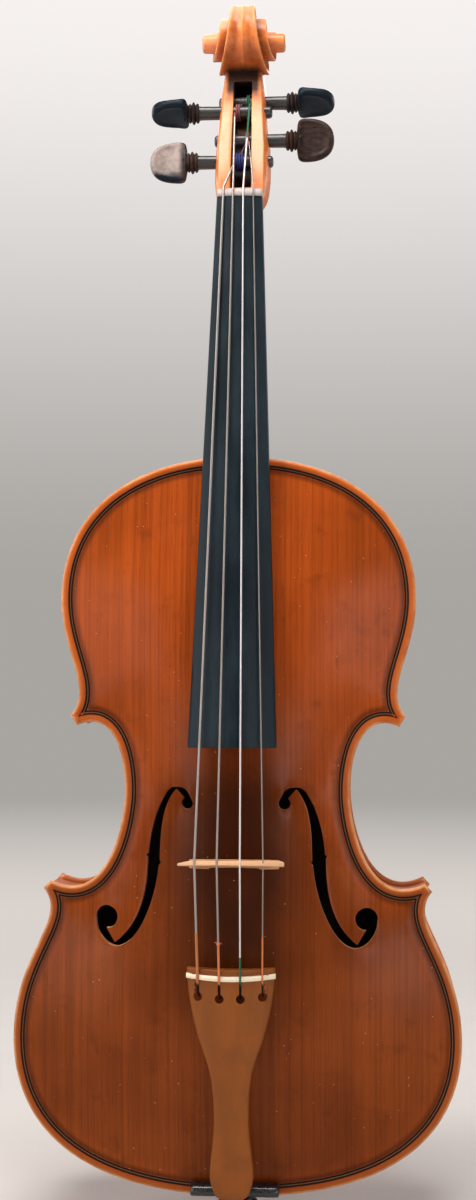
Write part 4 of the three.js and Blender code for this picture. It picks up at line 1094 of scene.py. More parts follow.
VOLUTE_START = -0.07
VOLUTE_HALVES = [
    (-0.1, 9.0), (0, 8.2), (0.25, 6.4), (0.5, 8.8), (0.75, 14.4), (1, 13.4), (1.25, 13), (1.5, 14.4),
    (1.75, 18.2), (2, 18.6), (2.25, 18.8),
]


def volute():
    """The carved spiral: each section is as wide as its turn, fluted outside and hollowed at its sides."""
    steps = 260
    rings = []
    for k in range(steps + 1):
        turn = mix(VOLUTE_START, 2.25, k / steps)
        radius = volute_radius(max(turn, 0))
        half = table(VOLUTE_HALVES, turn)
        a = 2 * math.pi * turn
        inner = volute_radius(turn + 1) if turn < 1.25 else EYE_RADIUS
        flute = 1.15 * clamp((0.95 - turn) / 0.15, 0, 1) * clamp(half / 9, 0.6, 1.3)
        trough = (0.26 * half + 0.6) * clamp((radius - inner) / 8, 0.2, 1)
        right = [(half - trough, 0.15), (half - trough, inner - 0.5)]
        for i in range(1, 8):
            s = i / 8
            right.append((half - trough * (1 - s ** 1.9), mix(inner - 0.5, radius - 0.7, s)))
        right += [(half, radius - 0.75), (half - 0.15, radius - 0.3), (half - 0.7, radius)]
        for i in range(1, 9):
            u = 1 - i / 8
            right.append(
                ((half - 0.7) * u, radius - flute * math.sin(math.pi * clamp(u / 0.95, 0, 1)) ** 1.2)
            )
        left = [(-x, r) for x, r in reversed(right[:-1])]
        rings.append([
            (x, EYE_Y + r * math.cos(a), EYE_HEIGHT + r * math.sin(a)) for x, r in right + left
        ])
    return loft(rings)


def scroll_eye():
    profile = []
    for side in (-1, 1):
        end = [
            (side * EYE_HALF, 2.6), (side * (EYE_HALF - 0.25), 4.2), (side * (EYE_HALF - 1.1), EYE_RADIUS),
        ]
        end.append((side * 17, EYE_RADIUS + 0.25))
        profile += end if side < 0 else end[::-1]
    points, faces = turned(profile, 40)
    return [(x, EYE_Y + y, EYE_HEIGHT + z) for x, y, z in points], faces


def neck_and_scroll():
    """All the parts of the neck as one skin, remeshed finely and worn smooth."""
    points, faces = joined(neck_shaft(), pegbox(), volute(), scroll_eye())
    piece = mesh_piece("neck_carving", points, faces, [scroll_maple], sharp=0)
    remesh = piece.modifiers.new("skin", "REMESH")
    remesh.mode = "VOXEL"
    remesh.voxel_size = 0.00042
    remesh.use_smooth_shade = True
    smooth = piece.modifiers.new("worn", "SMOOTH")
    smooth.factor = 0.5
    smooth.iterations = 3
    graph = bpy.context.evaluated_depsgraph_get()
    fine = bpy.data.meshes.new_from_object(piece.evaluated_get(graph))
    piece.modifiers.clear()
    piece.data = fine
    return piece


def mark_relief(piece):
    """Stores how far each point stands out, the painted shade down in the well, in the throat and in the
    scroll's crevices, and where the varnish is worn, with painted highlights on the scroll's upper and left
    faces.
    """
    mesh = piece.data
    count = len(mesh.vertices)
    co = np.empty(count * 3)
    mesh.vertices.foreach_get("co", co)
    co = co.reshape(-1, 3) * 1000
    edges = np.empty(len(mesh.edges) * 2, dtype=int)
    mesh.edges.foreach_get("vertices", edges)
    edges = edges.reshape(-1, 2)
    normals = np.empty(count * 3)
    mesh.vertex_normals.foreach_get("vector", normals)
    normals = normals.reshape(-1, 3)
    degree = np.bincount(edges.ravel(), minlength=count)[:, None]
    smooth = co.copy()
    for _ in range(22):
        total = np.zeros_like(smooth)
        np.add.at(total, edges[:, 0], smooth[edges[:, 1]])
        np.add.at(total, edges[:, 1], smooth[edges[:, 0]])
        smooth = 0.5 * smooth + 0.5 * total / np.maximum(degree, 1)
    out = np.einsum("ij,ij->i", co - smooth, normals)
    relief = np.clip(0.5 + out * 1.3, 0, 1)
    across = np.abs(co[:, 0])
    h = co[:, 2] - BODY_FOOT
    front = pegbox_front(h)
    down = np.clip((co[:, 1] - front - 1.5) / 5, 0, 1)
    # Painted shade down in the well, weaker around 599 mm up.
    well = (
        down * (normals[:, 1] < 0.5) * (across < 6.3) * (h > 559) * (h < 630)
        * (1 - 0.55 * np.exp(-(((h - 599) / 3.5) ** 2)))
    )
    # Painted shadow in the throat under the scroll.
    throat = np.clip((h - 612) / 9, 0, 1) * np.clip((636 - h) / 3, 0, 1) * np.clip((11 - across) / 3, 0, 1)
    throat *= np.clip((24 - co[:, 1]) / 4, 0, 1) * (co[:, 1] > -6) * (normals[:, 1] < 0.3)
    facing = np.clip((-normals[:, 1] - 0.7) / 0.2, 0, 1) * (across < 14)
    paler = np.clip((h - 560) / 14, 0.25, 1) * np.clip((614 - h) / 12, 0, 1) * (h > 554)
    inner_edge = 1 - 0.75 * np.clip((7.5 - across) / 1.2, 0, 1) * (co[:, 0] < 0) * (h > 572)
    bare = 0.72 * facing * paler * inner_edge
    # Painted highlights kept in bare with the wear: faces turned up at the top of the scroll, more on its
    # left, and the scroll's sides by the eyes, more on the left.
    upper = (
        np.clip((normals[:, 2] - 0.25) / 0.6, 0, 1) * np.clip((h - 640) / 18, 0, 1) * (normals[:, 1] < 0.4)
    )
    bare = np.maximum(bare, 0.8 * upper * np.clip(0.75 - co[:, 0] / 40, 0, 1))
    bare = np.maximum(bare, 0.3 * (across > 15) * (h > 640) * np.clip(0.7 - co[:, 0] / 50, 0, 1))
    # Painted shade beside the scroll's turns and in its flutes, on faces turned forward.
    turn_half = np.interp(h, [630, 636, 643, 650, 658, 666, 672], [14.6, 13.2, 10.6, 8.8, 7.6, 6.8, 6.4])
    beside = np.clip(1 - (across - turn_half - 0.3) / 4.5, 0, 1) * (across > turn_half + 0.3)
    fluted = np.sin(np.pi * np.clip(across / turn_half, 0, 1)) ** 2 * np.clip((676 - h) / 26, 0, 1)
    crevice = np.maximum(beside, 0.55 * fluted) * np.clip((-normals[:, 1] - 0.2) / 0.4, 0, 1) * (h > 632)
    for key, values in (
        ("crevice", crevice), ("relief", relief), ("well", well), ("throat", throat), ("bare", bare),
    ):
        layer = mesh.attributes.new(key, "FLOAT", "POINT")
        layer.data.foreach_set("value", values.astype(np.float32))


neck = neck_and_scroll()
mark_relief(neck)
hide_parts("neck_and_scroll")


# Fingerboard and nut
def board_ring(h):
    share = (h - BOARD_END) / (NUT_FOOT - BOARD_END)
    half = mix(BOARD_HALF_AT_END, BOARD_HALF_AT_NUT, share)
    shift = mix(-0.8, 0, share)
    bottom = glue_y(h) + 0.1
    ring = [
        (half - 0.5 + shift, bottom, h), (-half + 0.5 + shift, bottom, h), (-half + shift, bottom - 0.5, h),
    ]
    drop = math.sqrt(BOARD_RADIUS ** 2 - half * half)
    ring.append((-half + shift, bottom - BOARD_SIDE + 0.9, h))
    for i in range(41):
        x = mix(-half + 0.35, half - 0.35, i / 40)
        ring.append((x + shift, bottom - BOARD_SIDE - math.sqrt(BOARD_RADIUS ** 2 - x * x) + drop, h))
    ring.append((half + shift, bottom - BOARD_SIDE + 0.9, h))
    ring.append((half + shift, bottom - 0.5, h))
    return ring


board_rings = []
for shrink, h in ((0.5, BOARD_END), (0.12, BOARD_END + 0.35), (0, BOARD_END + 0.9)):
    ring = board_ring(h)
    middle_y = sum(p[1] for p in ring) / len(ring)
    board_rings.append([(p[0] * (1 - shrink / 24), mix(p[1], middle_y, shrink / 8), p[2]) for p in ring])
board_rings += [board_ring(mix(BOARD_END + 0.9, NUT_FOOT - 0.05, i / 40)) for i in range(1, 41)]
points, faces = loft(board_rings)
mesh_piece("playing_board", points, faces, [ebony], replaces=["fingerboard"], sharp=40)


def nut_ring(h, lower, half):
    bottom = glue_y(NUT_FOOT) + 0.05
    ring = [(half, bottom, h), (-half, bottom, h), (-half, -21.4 + half * half / 90 + lower, h)]
    for i in range(31):
        x = mix(-half + 0.5, half - 0.5, i / 30)
        ring.append((x, -22 + x * x / 90 + lower, h))
    ring.append((half, -21.4 + half * half / 90 + lower, h))
    return ring


nut_rows = [
    (0, 0.25, 12.5), (0.3, 0, 12.75), (1.6, 0, 12.8), (3, 0.3, 12.8), (4, 0.95, 12.75), (4.6, 2.0, 12.5),
]
points, faces = loft([nut_ring(NUT_FOOT + rise, lower, half) for rise, lower, half in nut_rows])
mesh_piece("bone_nut", points, faces, [bone], replaces=["nut"], sharp=50)

# Strings: silk at the tail, bare winding over the bridge, silk again at the peg
PEGS = [
    {
        "name": "c", "side": -1, "height": 577.2, "y": 0, "turn": -0.2, "tip": 18,
        "coil": -3.8, "loops": 3, "radius": 0.7, "tail": "copper", "silk_from": 147.5, "silk_to": 573,
        "wound": "blue",
    },
    {
        "name": "g", "side": -1, "height": 607.5, "y": 6.5, "turn": 1.27, "tip": 17,
        "coil": -4.2, "loops": 2.5, "radius": 0.6, "tail": "orange", "silk_from": 143, "silk_to": 603,
        "wound": "maroon",
    },
    {
        "name": "d", "side": 1, "height": 614.8, "y": 13, "turn": 1.24, "tip": 14.2,
        "coil": 4.2, "loops": 2, "radius": 0.5, "tail": "green", "silk_from": 135, "silk_to": 589,
        "wound": "green",
    },
    {
        "name": "a", "side": 1, "height": 590.3, "y": 4, "turn": 0.05, "tip": 16,
        "coil": 4, "loops": 2, "radius": 0.42, "tail": "orange", "silk_from": 146, "silk_to": 586,
        "wound": "pink",
    },
]
STRING_AT_NUT = [-9, -3.5, 2.2, 7.8]
STRING_AT_BRIDGE = [-19.3, -7.2, 5, 17]
STRING_AT_FRET = [-18.6, -6.9, 4.4, 16.1]
KEYHOLE_HEIGHT = [112.9, 112, 112, 113]
CROWN_HEIGHT = BRIDGE_FOOT + BRIDGE_HEIGHT * BRIDGE_LEAN + 1.2


def crown_y(x):
    return CROWN_Y + (x - STRING_SHIFT) ** 2 / CROWN_CURVE


def fret_y(x):
    return -57.85 + (x - STRING_SHIFT) ** 2 / 95


def nut_y(x):
    return -22.3 + x * x / 90


def string_route(i):
    peg = PEGS[i]
    g = PEGS[1]
    clear = DRUM + peg["radius"] + 0.55
    around = []
    if peg["name"] == "d":
        around = [
            (peg["coil"] - 0.3, g["y"] - clear, g["height"] + 0.2),
            (peg["coil"] - 0.1, g["y"] - 0.71 * clear, g["height"] + 0.71 * clear),
        ]
    at_fret, at_bridge, at_nut = STRING_AT_FRET[i], STRING_AT_BRIDGE[i], STRING_AT_NUT[i]
    return [
        (at_fret, fret_y(at_fret) + 9, KEYHOLE_HEIGHT[i] - 0.6),
        (at_fret, fret_y(at_fret) + 7, KEYHOLE_HEIGHT[i] + 1.4),
        (at_fret, fret_y(at_fret) + 5.2, FRET_HEIGHT - 6),
        (at_fret, fret_y(at_fret) + 1.2, FRET_HEIGHT - 3),
        (at_fret, fret_y(at_fret), FRET_HEIGHT - 1.6),
        (at_fret, fret_y(at_fret), FRET_HEIGHT + 0.6),
        (at_bridge, crown_y(at_bridge), CROWN_HEIGHT),
        (at_nut, nut_y(at_nut), NUT_FOOT + 0.8),
        (at_nut, nut_y(at_nut) + 0.6, NUT_FOOT + NUT_HEIGHT + 0.6),
        *around,
        (peg["coil"], peg["y"] - DRUM - 3 * peg["radius"] - 0.75, peg["height"] - peg["radius"] - 1.2),
    ]


def split_route(route, heights):
    """The route with an extra point wherever it passes one of the heights."""
    points = [route[0]]
    for a, b in zip(route, route[1:]):
        for h in sorted(heights):
            if a[2] < h < b[2]:
                t = (h - a[2]) / (b[2] - a[2])
                points.append(tuple(mix(a[k], b[k], t) for k in range(3)))
        points.append(b)
    return points


for i, peg in enumerate(PEGS):
    radius = peg["radius"]
    nut_silk = peg["silk_to"]
    route = split_route(
        string_route(i), [peg["silk_from"], peg["silk_from"] + 0.4, nut_silk, nut_silk + 0.3],
    )
    tail_end = [p for p in route if p[2] <= peg["silk_from"] + 0.001]
    bare = [p for p in route if peg["silk_from"] - 0.001 <= p[2] <= nut_silk + 0.001]
    peg_end = [p for p in route if p[2] >= nut_silk - 0.001]
    parts = [
        sweep(tail_end, [radius * 1.12] * len(tail_end), 14),
        sweep(bare, [radius] * len(bare), 14),
        sweep(peg_end, [radius * 1.1] * len(peg_end), 14),
    ]
    part_slots = [0, 1, 2]
    if peg["name"] == "g":
        x, y, h = tail_end[-1]
        parts.append(sweep([(x, y, h - 1.4), (x, y, h - 0.7), (x, y, h - 0.1)], [0.9, 1.15, 0.8], 14))
        parts.append(
            sweep(
                [(x, y, h - 0.5), (x - 1.3, y - 0.3, h + 0.1), (x - 2.1, y, h - 0.3)], [0.2, 0.16, 0.08], 8,
            )
        )
        parts.append(
            sweep(
                [(x, y, h - 0.5), (x + 1.2, y - 0.3, h - 0.2), (x + 2.2, y, h - 0.9)], [0.2, 0.16, 0.08], 8,
            )
        )
        part_slots += [0, 0, 0]
    if peg["name"] == "a":
        x, y, h = peg_end[-1]
        loose = [
            (x, y, h - 0.5), (x - 2.2, y - 0.8, h - 2.6), (x - 3.8, y - 0.4, h - 6),
            (x - 5.6, y + 0.6, h - 8.6),
        ]
        parts.append(sweep(loose, [0.28, 0.26, 0.24, 0.14], 8))
        part_slots.append(2)
    points, faces = joined(*parts)
    slots = [slot for part, slot in zip(parts, part_slots) for _ in part[1]]
    mesh_piece(
        f"wire_{peg['name']}", points, faces, [silks[peg["tail"]], WIRES[peg["name"]], silks[peg["wound"]]],
        replaces=[f"string_{peg['name']}"], slots=slots, sharp=60,
    )


# Windings and pegs, drawn around the peg's own axis
def peg_radius(distance):
    return mix(3.4, 4, (distance + PEG_TIP) / (PEG_TIP + 28))


def head_thickness(x, z):
    """Half the thickness of a peg's head: full at the collar, hollowed behind it, thin at the ears."""
    near_collar = clamp((40 - x) / 8, 0, 1) ** 1.4
    middle = max(0, 1 - (z / 8.5) ** 2)
    far_rim = clamp((x - 43) / 8, 0, 1)
    return 1.9 + near_collar * (1.5 + 1.4 * middle) + 0.9 * far_rim


def peg_head():
    """A rounded D with two ears towards the collar, both faces hollowed."""
    line = [(31.2, -5.2), (31.5, -8.2)]
    line += bezier((31.6, -8.6), (31.8, -11.4), (33.6, -12.2), (36, -12.3), 6)
    line += bezier((36, -12.3), (46.5, -12.6), (52.5, -8.2), (52.5, 0), 18)
    line += bezier((52.5, 0), (52.5, 8.2), (46.5, 12.6), (36, 12.3), 18)
    line += bezier((36, 12.3), (33.6, 12.2), (31.8, 11.4), (31.6, 8.6), 6)
    line += [(31.6, 8.6), (31.5, 8.2), (31.2, 5.2)]
    line += [(31.0, mix(5.2, -5.2, k / 6)) for k in range(1, 6)]
    corners, triangles = triangulated(line, [], [0.15, 0.5, 1.0, 1.8], [], 0.9)
    depth = edge_distance(corners, [line])
    full = np.asarray([head_thickness(x, z) for x, z in corners])
    over = np.minimum(depth, 1.6) / 1.6
    rim = np.sqrt(np.maximum(0, 1 - (1 - over) ** 2))
    raised = 0.8 * np.exp(-(((depth - 2.2) / 1.3) ** 2)) * np.clip((corners[:, 0] - 36) / 4, 0.35, 1)
    half = full * mix(0.35, 1.0, rim) + raised * rim
    return two_sided(corners, triangles, half, -half, lambda x, z, y: (x, y, z))


def peg_shaft(tip):
    profile = [
        (-tip, 1.4), (-tip + 0.12, 2.1), (-tip + 0.4, 2.75), (-tip + 0.9, 3.2),
        (-tip + 1.5, peg_radius(-tip)),
    ]
    profile += [(0, peg_radius(0))]
    profile += [
        (23.6, peg_radius(23.6)), (24.8, 4.1), (25.1, 5.0), (25.5, 5.5), (26.0, 5.7), (26.5, 5.5),
        (26.9, 4.7),
    ]
    profile += [
        (27.1, 4.9), (27.6, 6.1), (28.2, 6.5), (28.8, 6.1), (29.3, 4.9), (29.5, 4.7), (29.9, 5.5),
        (30.3, 5.6),
    ]
    profile += [(30.8, 5.2), (31.3, 4.4), (31.9, 4.2), (32.6, 4.8), (33.6, 5.0)]
    return turned(profile, 56)


head_skin = peg_head()
for peg in PEGS:
    turn = peg["turn"]
    cos, sin = math.cos(turn), math.sin(turn)
    head_points = [(x, y * cos - z * sin, y * sin + z * cos) for x, y, z in head_skin[0]]
    shaft = peg_shaft(peg["tip"])
    points, faces = joined(shaft, (head_points, head_skin[1]))
    slots = [int(max(shaft[0][k][0] for k in face) < 24.9) for face in shaft[1]] + [0] * len(head_skin[1])
    if peg["side"] < 0:
        points = [(-x, y, z) for x, y, z in points]
        faces = [tuple(reversed(face)) for face in faces]
    points = [(x, y + peg["y"], z + peg["height"]) for x, y, z in points]
    mesh_piece(
        f"tuner_{peg['name']}", points, faces, [PEG_WOODS[peg["name"]], polished], body=f"{peg['name']}_peg",
        replaces=[f"peg_{peg['name']}"], slots=slots, sharp=42,
    )
    radius = peg["radius"]
    drum = DRUM + radius
    inwards = -math.copysign(1, peg["coil"])
    path = []
    for k in range(int(peg["loops"] * 40) + 1):
        a = 2 * math.pi * k / 40 - math.pi / 2
        x = peg["coil"] + inwards * (2 * radius + 0.12) * k / 40
        path.append((x, peg["y"] + drum * math.cos(a), peg["height"] + drum * math.sin(a)))
    points, faces = sweep(path, [radius] * len(path), 10)
    mesh_piece(
        f"wrap_{peg['name']}", points, faces, [silks[peg["wound"]]], body=f"{peg['name']}_peg",
        replaces=[f"winding_{peg['name']}"], sharp=0,
    )


# Bridge
def bridge():
    half = bezier(
        (0, BRIDGE_HEIGHT), (9.3, BRIDGE_HEIGHT - 0.1), (18.7, BRIDGE_HEIGHT - 3), (28, BRIDGE_HEIGHT - 8.6),
        14,
    )
    half += [(28, BRIDGE_HEIGHT - 8.6), (28.4, BRIDGE_HEIGHT - 9.6), (28.3, BRIDGE_HEIGHT - 10.7)]
    half += bezier((28.0, BRIDGE_HEIGHT - 11), (25, 24.4), (22, 23.4), (18.5, 24.6), 8)
    half += bezier((18.5, 24.6), (13.5, 25.5), (12, 19), (16, 18.2), 8)
    half += bezier((16, 18.2), (19, 17.7), (20, 19.4), (22, 19), 6)
    half += bezier((22, 19), (23, 15), (19.6, 11), (18.4, 8), 7)
    half += bezier((18.4, 8), (18, 4.4), (21, 2.2), (24.4, 1.2), 7)
    half += [(24.4, 1.2), (24.6, 0), (24.4, -1.5), (24.2, -6), (13.6, -6), (13.4, -1), (13.2, 2.2)]
    half += bezier((13.2, 2.2), (12, 8), (6, 10.4), (0, 10.6), 9)[1:] + [(0, 10.6)]
    ring = half + [(-x, y) for x, y in reversed(half[1:-1])]
    heart = (
        bezier((0, 17.6), (7.5, 19.5), (7.5, 27), (3.4, 27), 9)
        + bezier((3.4, 27), (1.6, 27), (1.4, 25), (0, 24), 5)
    )
    heart += (
        bezier((0, 24), (-1.4, 25), (-1.6, 27), (-3.4, 27), 5)
        + bezier((-3.4, 27), (-7.5, 27), (-7.5, 19.5), (0, 17.6), 9)
    )
    corners, triangles = triangulated(ring, [heart], [0.2, 0.5, 1.0], [0.25, 0.7], 1.1)
    depth = edge_distance(corners, [ring, heart])
    up = np.clip(corners[:, 1] / BRIDGE_HEIGHT, 0, 1)
    out = np.where(
        corners[:, 0] < 0, np.clip((-corners[:, 0] - 17) / 11.5, 0, 1),
        np.clip((corners[:, 0] - 25) / 3.5, 0, 1),
    )
    thick = (4.7 - 2.3 * up ** 1.2) * (1 - np.where(corners[:, 0] < 0, 0.62, 0.3) * out ** 1.5 * (up > 0.55))
    ease = 0.35 * (1 - np.clip(depth / 0.5, 0, 1)) ** 2
    belly = 0.25 * np.sin(np.pi * up)
    lean_cos, lean_sin = math.cos(BRIDGE_LEAN), math.sin(BRIDGE_LEAN)
    foot_y = -float(outer_height([(0, BRIDGE_FOOT)], TOP_RISE)[0])

    def place(x, v, w):
        return (
            x + STRING_SHIFT * 0.4, foot_y - v * lean_cos + w * lean_sin,
            BRIDGE_FOOT + v * lean_sin + w * lean_cos,
        )

    points, faces = two_sided(corners, triangles, thick - ease + belly, ease, place)
    low = [k for k, (x, y, h) in enumerate(points) if y > foot_y - 0.9]
    surface = outer_height([(points[k][0], points[k][2]) for k in low], TOP_RISE)
    for k, outward in zip(low, surface):
        x, y, h = points[k]
        if y > -outward + 0.25:
            points[k] = (x, -outward + 0.25, h)
    return points, faces


points, faces = bridge()
mesh_piece("bridge_carving", points, faces, [bridge_maple], replaces=["bridge"], sharp=40)

# Tailpiece
TAIL_FOOT = 2.5
TAIL_HEAD = 128.6
TAIL_HALVES = [
    (2.5, 7.2), (6, 9.6), (14, 11.7), (24, 11.2), (34, 10), (46, 9.35), (58, 9.7), (68, 10.8), (76, 12.6),
    (82, 14.6),
    (92, 18), (104, 21), (116, 23), (128.6, 23.8),
]


def tail_front(h):
    return mix(-41, -57.2, (h - TAIL_FOOT) / (TAIL_HEAD - TAIL_FOOT))


def tailpiece():
    side = [(table(TAIL_HALVES, h), h) for h in np.linspace(TAIL_FOOT + 1.2, TAIL_HEAD - 0.5, 64)]
    side = [(table(TAIL_HALVES, TAIL_FOOT) - 1.6, TAIL_FOOT)] + side + [(23.3, TAIL_HEAD)]
    top = [(x, TAIL_HEAD - 0.8 * (1 - (x / 22) ** 2)) for x in np.linspace(22, -22, 25)]
    ring = side + top + [(-x, y) for x, y in reversed(side)]
    ring = [(x + STRING_SHIFT, y) for x, y in ring]
    holes = []
    for x, h, peg in zip(STRING_AT_FRET, KEYHOLE_HEIGHT, PEGS):
        slot_half = 1.12 * peg["radius"] + 0.08
        gap = math.asin(slot_half / 2.4)
        hole = arc((x, h), 2.4, math.pi / 2 + gap, math.pi / 2 - gap + 2 * math.pi, 22)
        hole += [(x + slot_half, h + 2.32), (x + slot_half, h + 5), (x + slot_half, SLOT_TOP)]
        hole += [(x, 121.2), (x - slot_half, SLOT_TOP), (x - slot_half, h + 5)]
        holes.append(hole)
    corners, triangles = triangulated(ring, holes, [0.15, 0.45, 0.9, 1.5], [0.2], 1.3)
    depth = edge_distance(corners, [ring])
    x, h = corners[:, 0] - STRING_SHIFT, corners[:, 1]
    front = tail_front(h) + x * x / 95
    front = front + 1.3 * (1 - np.sqrt(np.maximum(0, 1 - (1 - np.clip(depth, 0, 1.3) / 1.3) ** 2)))
    front = front - 0.35 * np.clip((h - 125.6) / 1.5, 0, 1)
    rim = np.clip((3.2 - depth) / 1.2, 0, 1)
    shell = np.clip((h - 78) / 14, 0, 1)
    thickness = mix(8.0, mix(3.4, 7.0, rim), shell)
    back = tail_front(h) + thickness
    points, faces = two_sided(corners, triangles, front, back, lambda x, y, z: (x, z, y))
    # Painted shade on the walls of the keyholes and slots.
    near_hole = edge_distance(corners, holes) < 0.15
    hollow = np.concatenate([np.zeros(len(corners)), near_hole])
    mesh_piece(
        "tail_carving", points, faces, [boxwood], replaces=["tailpiece"], sharp=42,
        attributes={"hollow": hollow},
    )


def strip_sag(x):
    return 1.2 * (1 - (x / 24) ** 2)


tailpiece()
fret_rows = []
for h, lower in ((122.6, 0.7), (122.9, 0.25), (123.6, 0), (124.4, 0), (125.1, 0.25), (125.4, 0.7)):
    ring = []
    for i in range(41):
        x = mix(-23.95, 23.95, i / 40)
        ring.append((x + STRING_SHIFT, tail_front(h) - 0.9 + lower + x * x / 95, h - strip_sag(x)))
    for i in range(41):
        x = mix(23.95, -23.95, i / 40)
        ring.append((x + STRING_SHIFT, tail_front(h) + 1.6 + x * x / 95, h - strip_sag(x)))
    fret_rows.append(ring)
points, faces = loft(fret_rows)
mesh_piece("tail_strip", points, faces, [white_bone], replaces=["tailpiece_fret"], sharp=50)

# Saddle, end button and tailgut
saddle_side = [
    (-19.05, 1.6), (-27.6, 1.6), (-29.6, 1.7), (-31.0, 2.2), (-31.8, 3.1), (-32, 4.2), (-31.8, 5.4),
    (-31.2, 6.6), (-30.4, 7.3), (-29.4, 7.6), (-19.05, 7.6),
]
saddle_rings = []
for x, shrink in (
    (-24, 0.9), (-23.7, 0.35), (-23.1, 0.05), (-20, 0), (0, 0), (20, 0), (23.1, 0.05), (23.7, 0.35),
    (24, 0.9),
):
    saddle_rings.append(
        [(x, y + (shrink if y < -22 else 0), mix(h, 4.6, shrink * 0.12)) for y, h in saddle_side]
    )
points, faces = loft(saddle_rings)
mesh_piece("ebony_saddle_block", points, faces, [saddle_ebony], replaces=["saddle"], sharp=42)

BUTTON_PROFILE = [
    (0, 9.2), (0.15, 9.7), (0.6, 10.5), (1.3, 10.9), (2.2, 11), (4.6, 11), (5.2, 10.7), (5.8, 10),
    (6.3, 8.6), (6.7, 7),
    (7.2, 6.2), (8.2, 5.95), (9.4, 6), (10.2, 6.2), (10.8, 6.8), (11.3, 7), (12.6, 7), (12.62, 4),
    (41.5, 3.6), (42, 3.1),
]
points, faces = turned(BUTTON_PROFILE, 64)
points = [(y, z, x - BODY_FOOT) for x, y, z in points]
mesh_piece("tail_button", *outwards(points, faces), [rosewood], replaces=["end_button"], sharp=42)

GUT_TURN = 7.6


def gut_leg(side):
    return [
        (STRING_SHIFT + side * 4, -36.4, 30), (STRING_SHIFT + side * 4, -36.4, 17),
        (STRING_SHIFT + side * 4.2, -33.6, 7), (STRING_SHIFT * 0.8 + side * 4.6, -32.8, 1.2),
        (side * 5.6, -28, 10.6 - BODY_FOOT), (side * GUT_TURN, -12, 8.7 - BODY_FOOT),
    ]


gut_path = gut_leg(-1)
for i in range(25):
    a = math.pi + math.pi * i / 24
    gut_path.append((GUT_TURN * math.cos(a), -GUT_TURN * math.sin(a), 8.55 - BODY_FOOT))
gut_path += gut_leg(1)[::-1]
points, faces = sweep(gut_path, [1] * len(gut_path), 14)
mesh_piece("gut_loop", points, faces, [nylon], replaces=["tailgut"], sharp=60)


# Stage, light and camera
def stage_material():
    """Pale paper: real and shadowed near the object, and further off a glowing tone as the camera sees it,
    painted darker low down and lighter higher up.
    """
    s = Shader("paper_backdrop", Roughness=0.9, Specular_IOR_Level=0.1)
    s.ground(s.spread(s.noise(0.02, 4, 0.6), 0.4, 0.7, 0.0, 0.06), (214, 208, 204), (186, 180, 176))
    s.feed(s.bsdf.inputs["Base Color"], s.base)
    away = s.math("SQRT", s.axis(0) ** 2.0 + s.axis(1) ** 2.0)
    # Painted light: the far paper glows, darker low down and lighter higher up.
    far_tone = s.blend(s.spread(s.axis(2), 500, 2600), (168, 165, 161), (248, 243, 241))
    far_tone = s.blend(s.spread(away, 900, 4200), (222, 214, 209), far_tone)
    glow = s.node("ShaderNodeEmission", 0, Color=far_tone, Strength=1.0)
    camera_ray, glossy_ray, through_ray = (
        s.node("ShaderNodeLightPath", f"Is {kind} Ray") for kind in ("Camera", "Glossy", "Transmission")
    )
    seen = s.math("MAXIMUM", s.math("MAXIMUM", camera_ray, glossy_ray * 0.4), through_ray)
    share = seen * s.spread(away, 500, 1500)
    mixed = s.node("ShaderNodeMixShader", 0, i0=share, i1=Value(s, s.bsdf.outputs[0]), i2=glow)
    s.feed(s.tree.nodes["Material Output"].inputs["Surface"], mixed)
    return s.material


stage_profile = [(0.4, 0), (1, 0), (2, 0), (3, 0), (4, 0)]
stage_profile += [(4 + math.sin(a), 1 - math.cos(a)) for a in (math.pi / 2 * i / 12 for i in range(1, 13))]
stage_profile += [(5, 2), (5, 3), (5, 4.5)]
STAGE_SIDES = 96
stage_points = []
for radius, z in stage_profile:
    for i in range(STAGE_SIDES):
        a = 2 * math.pi * i / STAGE_SIDES
        stage_points.append((radius * math.cos(a), radius * math.sin(a), z))
stage_faces = [tuple(range(STAGE_SIDES))]
for row in range(len(stage_profile) - 1):
    for i in range(STAGE_SIDES):
        a, b = row * STAGE_SIDES + i, row * STAGE_SIDES + (i + 1) % STAGE_SIDES
        stage_faces.append((a, a + STAGE_SIDES, b + STAGE_SIDES, b))
backdrop_mesh = bpy.data.meshes.new("backdrop")
backdrop_mesh.from_pydata(stage_points, [], stage_faces)
backdrop_mesh.shade_smooth()
backdrop_mesh.materials.append(stage_material())
backdrop = bpy.data.objects.new("backdrop", backdrop_mesh)
bpy.context.scene.collection.objects.link(backdrop)


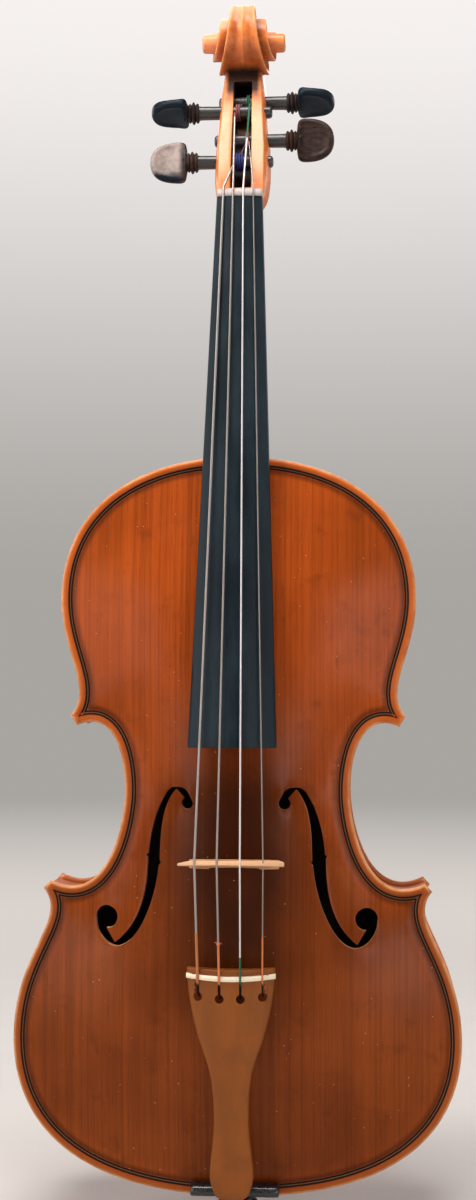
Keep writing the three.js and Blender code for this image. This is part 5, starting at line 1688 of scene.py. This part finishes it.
def area_light(name, place, target, width, height, power, tint=(1, 1, 1)):
    data = bpy.data.lights.new(name, "AREA")
    data.shape = "RECTANGLE"
    data.size = width
    data.size_y = height
    data.energy = power
    data.color = tint
    lamp = bpy.data.objects.new(name, data)
    lamp.location = place
    lamp.visible_camera = False
    lamp.rotation_euler = (Vector(target) - Vector(place)).to_track_quat("-Z", "Y").to_euler()
    bpy.context.scene.collection.objects.link(lamp)


area_light("overhead", (0.0, -0.5, 1.75), (0, 0, 0.35), 0.9, 0.5, 21, (1, 0.975, 0.95))
area_light("upper_left", (-0.4, -0.4, 1.12), (0, 0, 0.62), 0.3, 0.3, 4.2, (1, 0.97, 0.94))
area_light("side_left", (-1.9, -0.9, 0.9), (0, 0, 0.3), 0.9, 1.2, 13)
area_light("side_right", (1.9, -0.9, 0.9), (0, 0, 0.3), 0.9, 1.2, 5)
area_light("strip_left", (-0.78, -1.1, 0.3), (0, 0, 0.25), 0.34, 0.5, 2.4, (1, 0.94, 0.96))
area_light("strip_right", (0.66, -1.15, 0.3), (0, 0, 0.25), 0.24, 0.5, 2.8, (1, 0.94, 0.96))
area_light("back_overhead", (0.0, 1.3, 1.3), (0, 0, 0.4), 0.9, 0.6, 7.5)
area_light("back_left", (-1.5, 1.2, 0.8), (0, 0, 0.3), 0.8, 1.1, 9)
area_light("back_right", (1.5, 1.2, 0.8), (0, 0, 0.3), 0.8, 1.1, 8)

world = bpy.data.worlds.new("studio")
bpy.context.scene.world = world
world.use_nodes = True
world.node_tree.nodes["Background"].inputs["Color"].default_value = (0.9, 0.9, 0.92, 1)
world.node_tree.nodes["Background"].inputs["Strength"].default_value = 0.06

camera_data = bpy.data.cameras.new("camera")
camera_data.sensor_fit = "VERTICAL"
camera_data.sensor_height = 36
camera_data.lens = 59.2
camera_data.clip_start = 0.05
camera = bpy.data.objects.new("camera", camera_data)
eye_point = Vector((0.0729, -1.1113, 0.2925))
aim = Vector((0.0001, -0.021, 0.3389))
facing = (aim - eye_point).to_track_quat("-Z", "Y").to_matrix().to_4x4()
camera.matrix_world = Matrix.Translation(eye_point) @ facing @ Matrix.Rotation(math.radians(0.22), 4, "Z")
bpy.context.scene.collection.objects.link(camera)
bpy.context.scene.camera = camera
bpy.context.scene.view_settings.view_transform = "Standard"

bpy.context.view_layer.update()
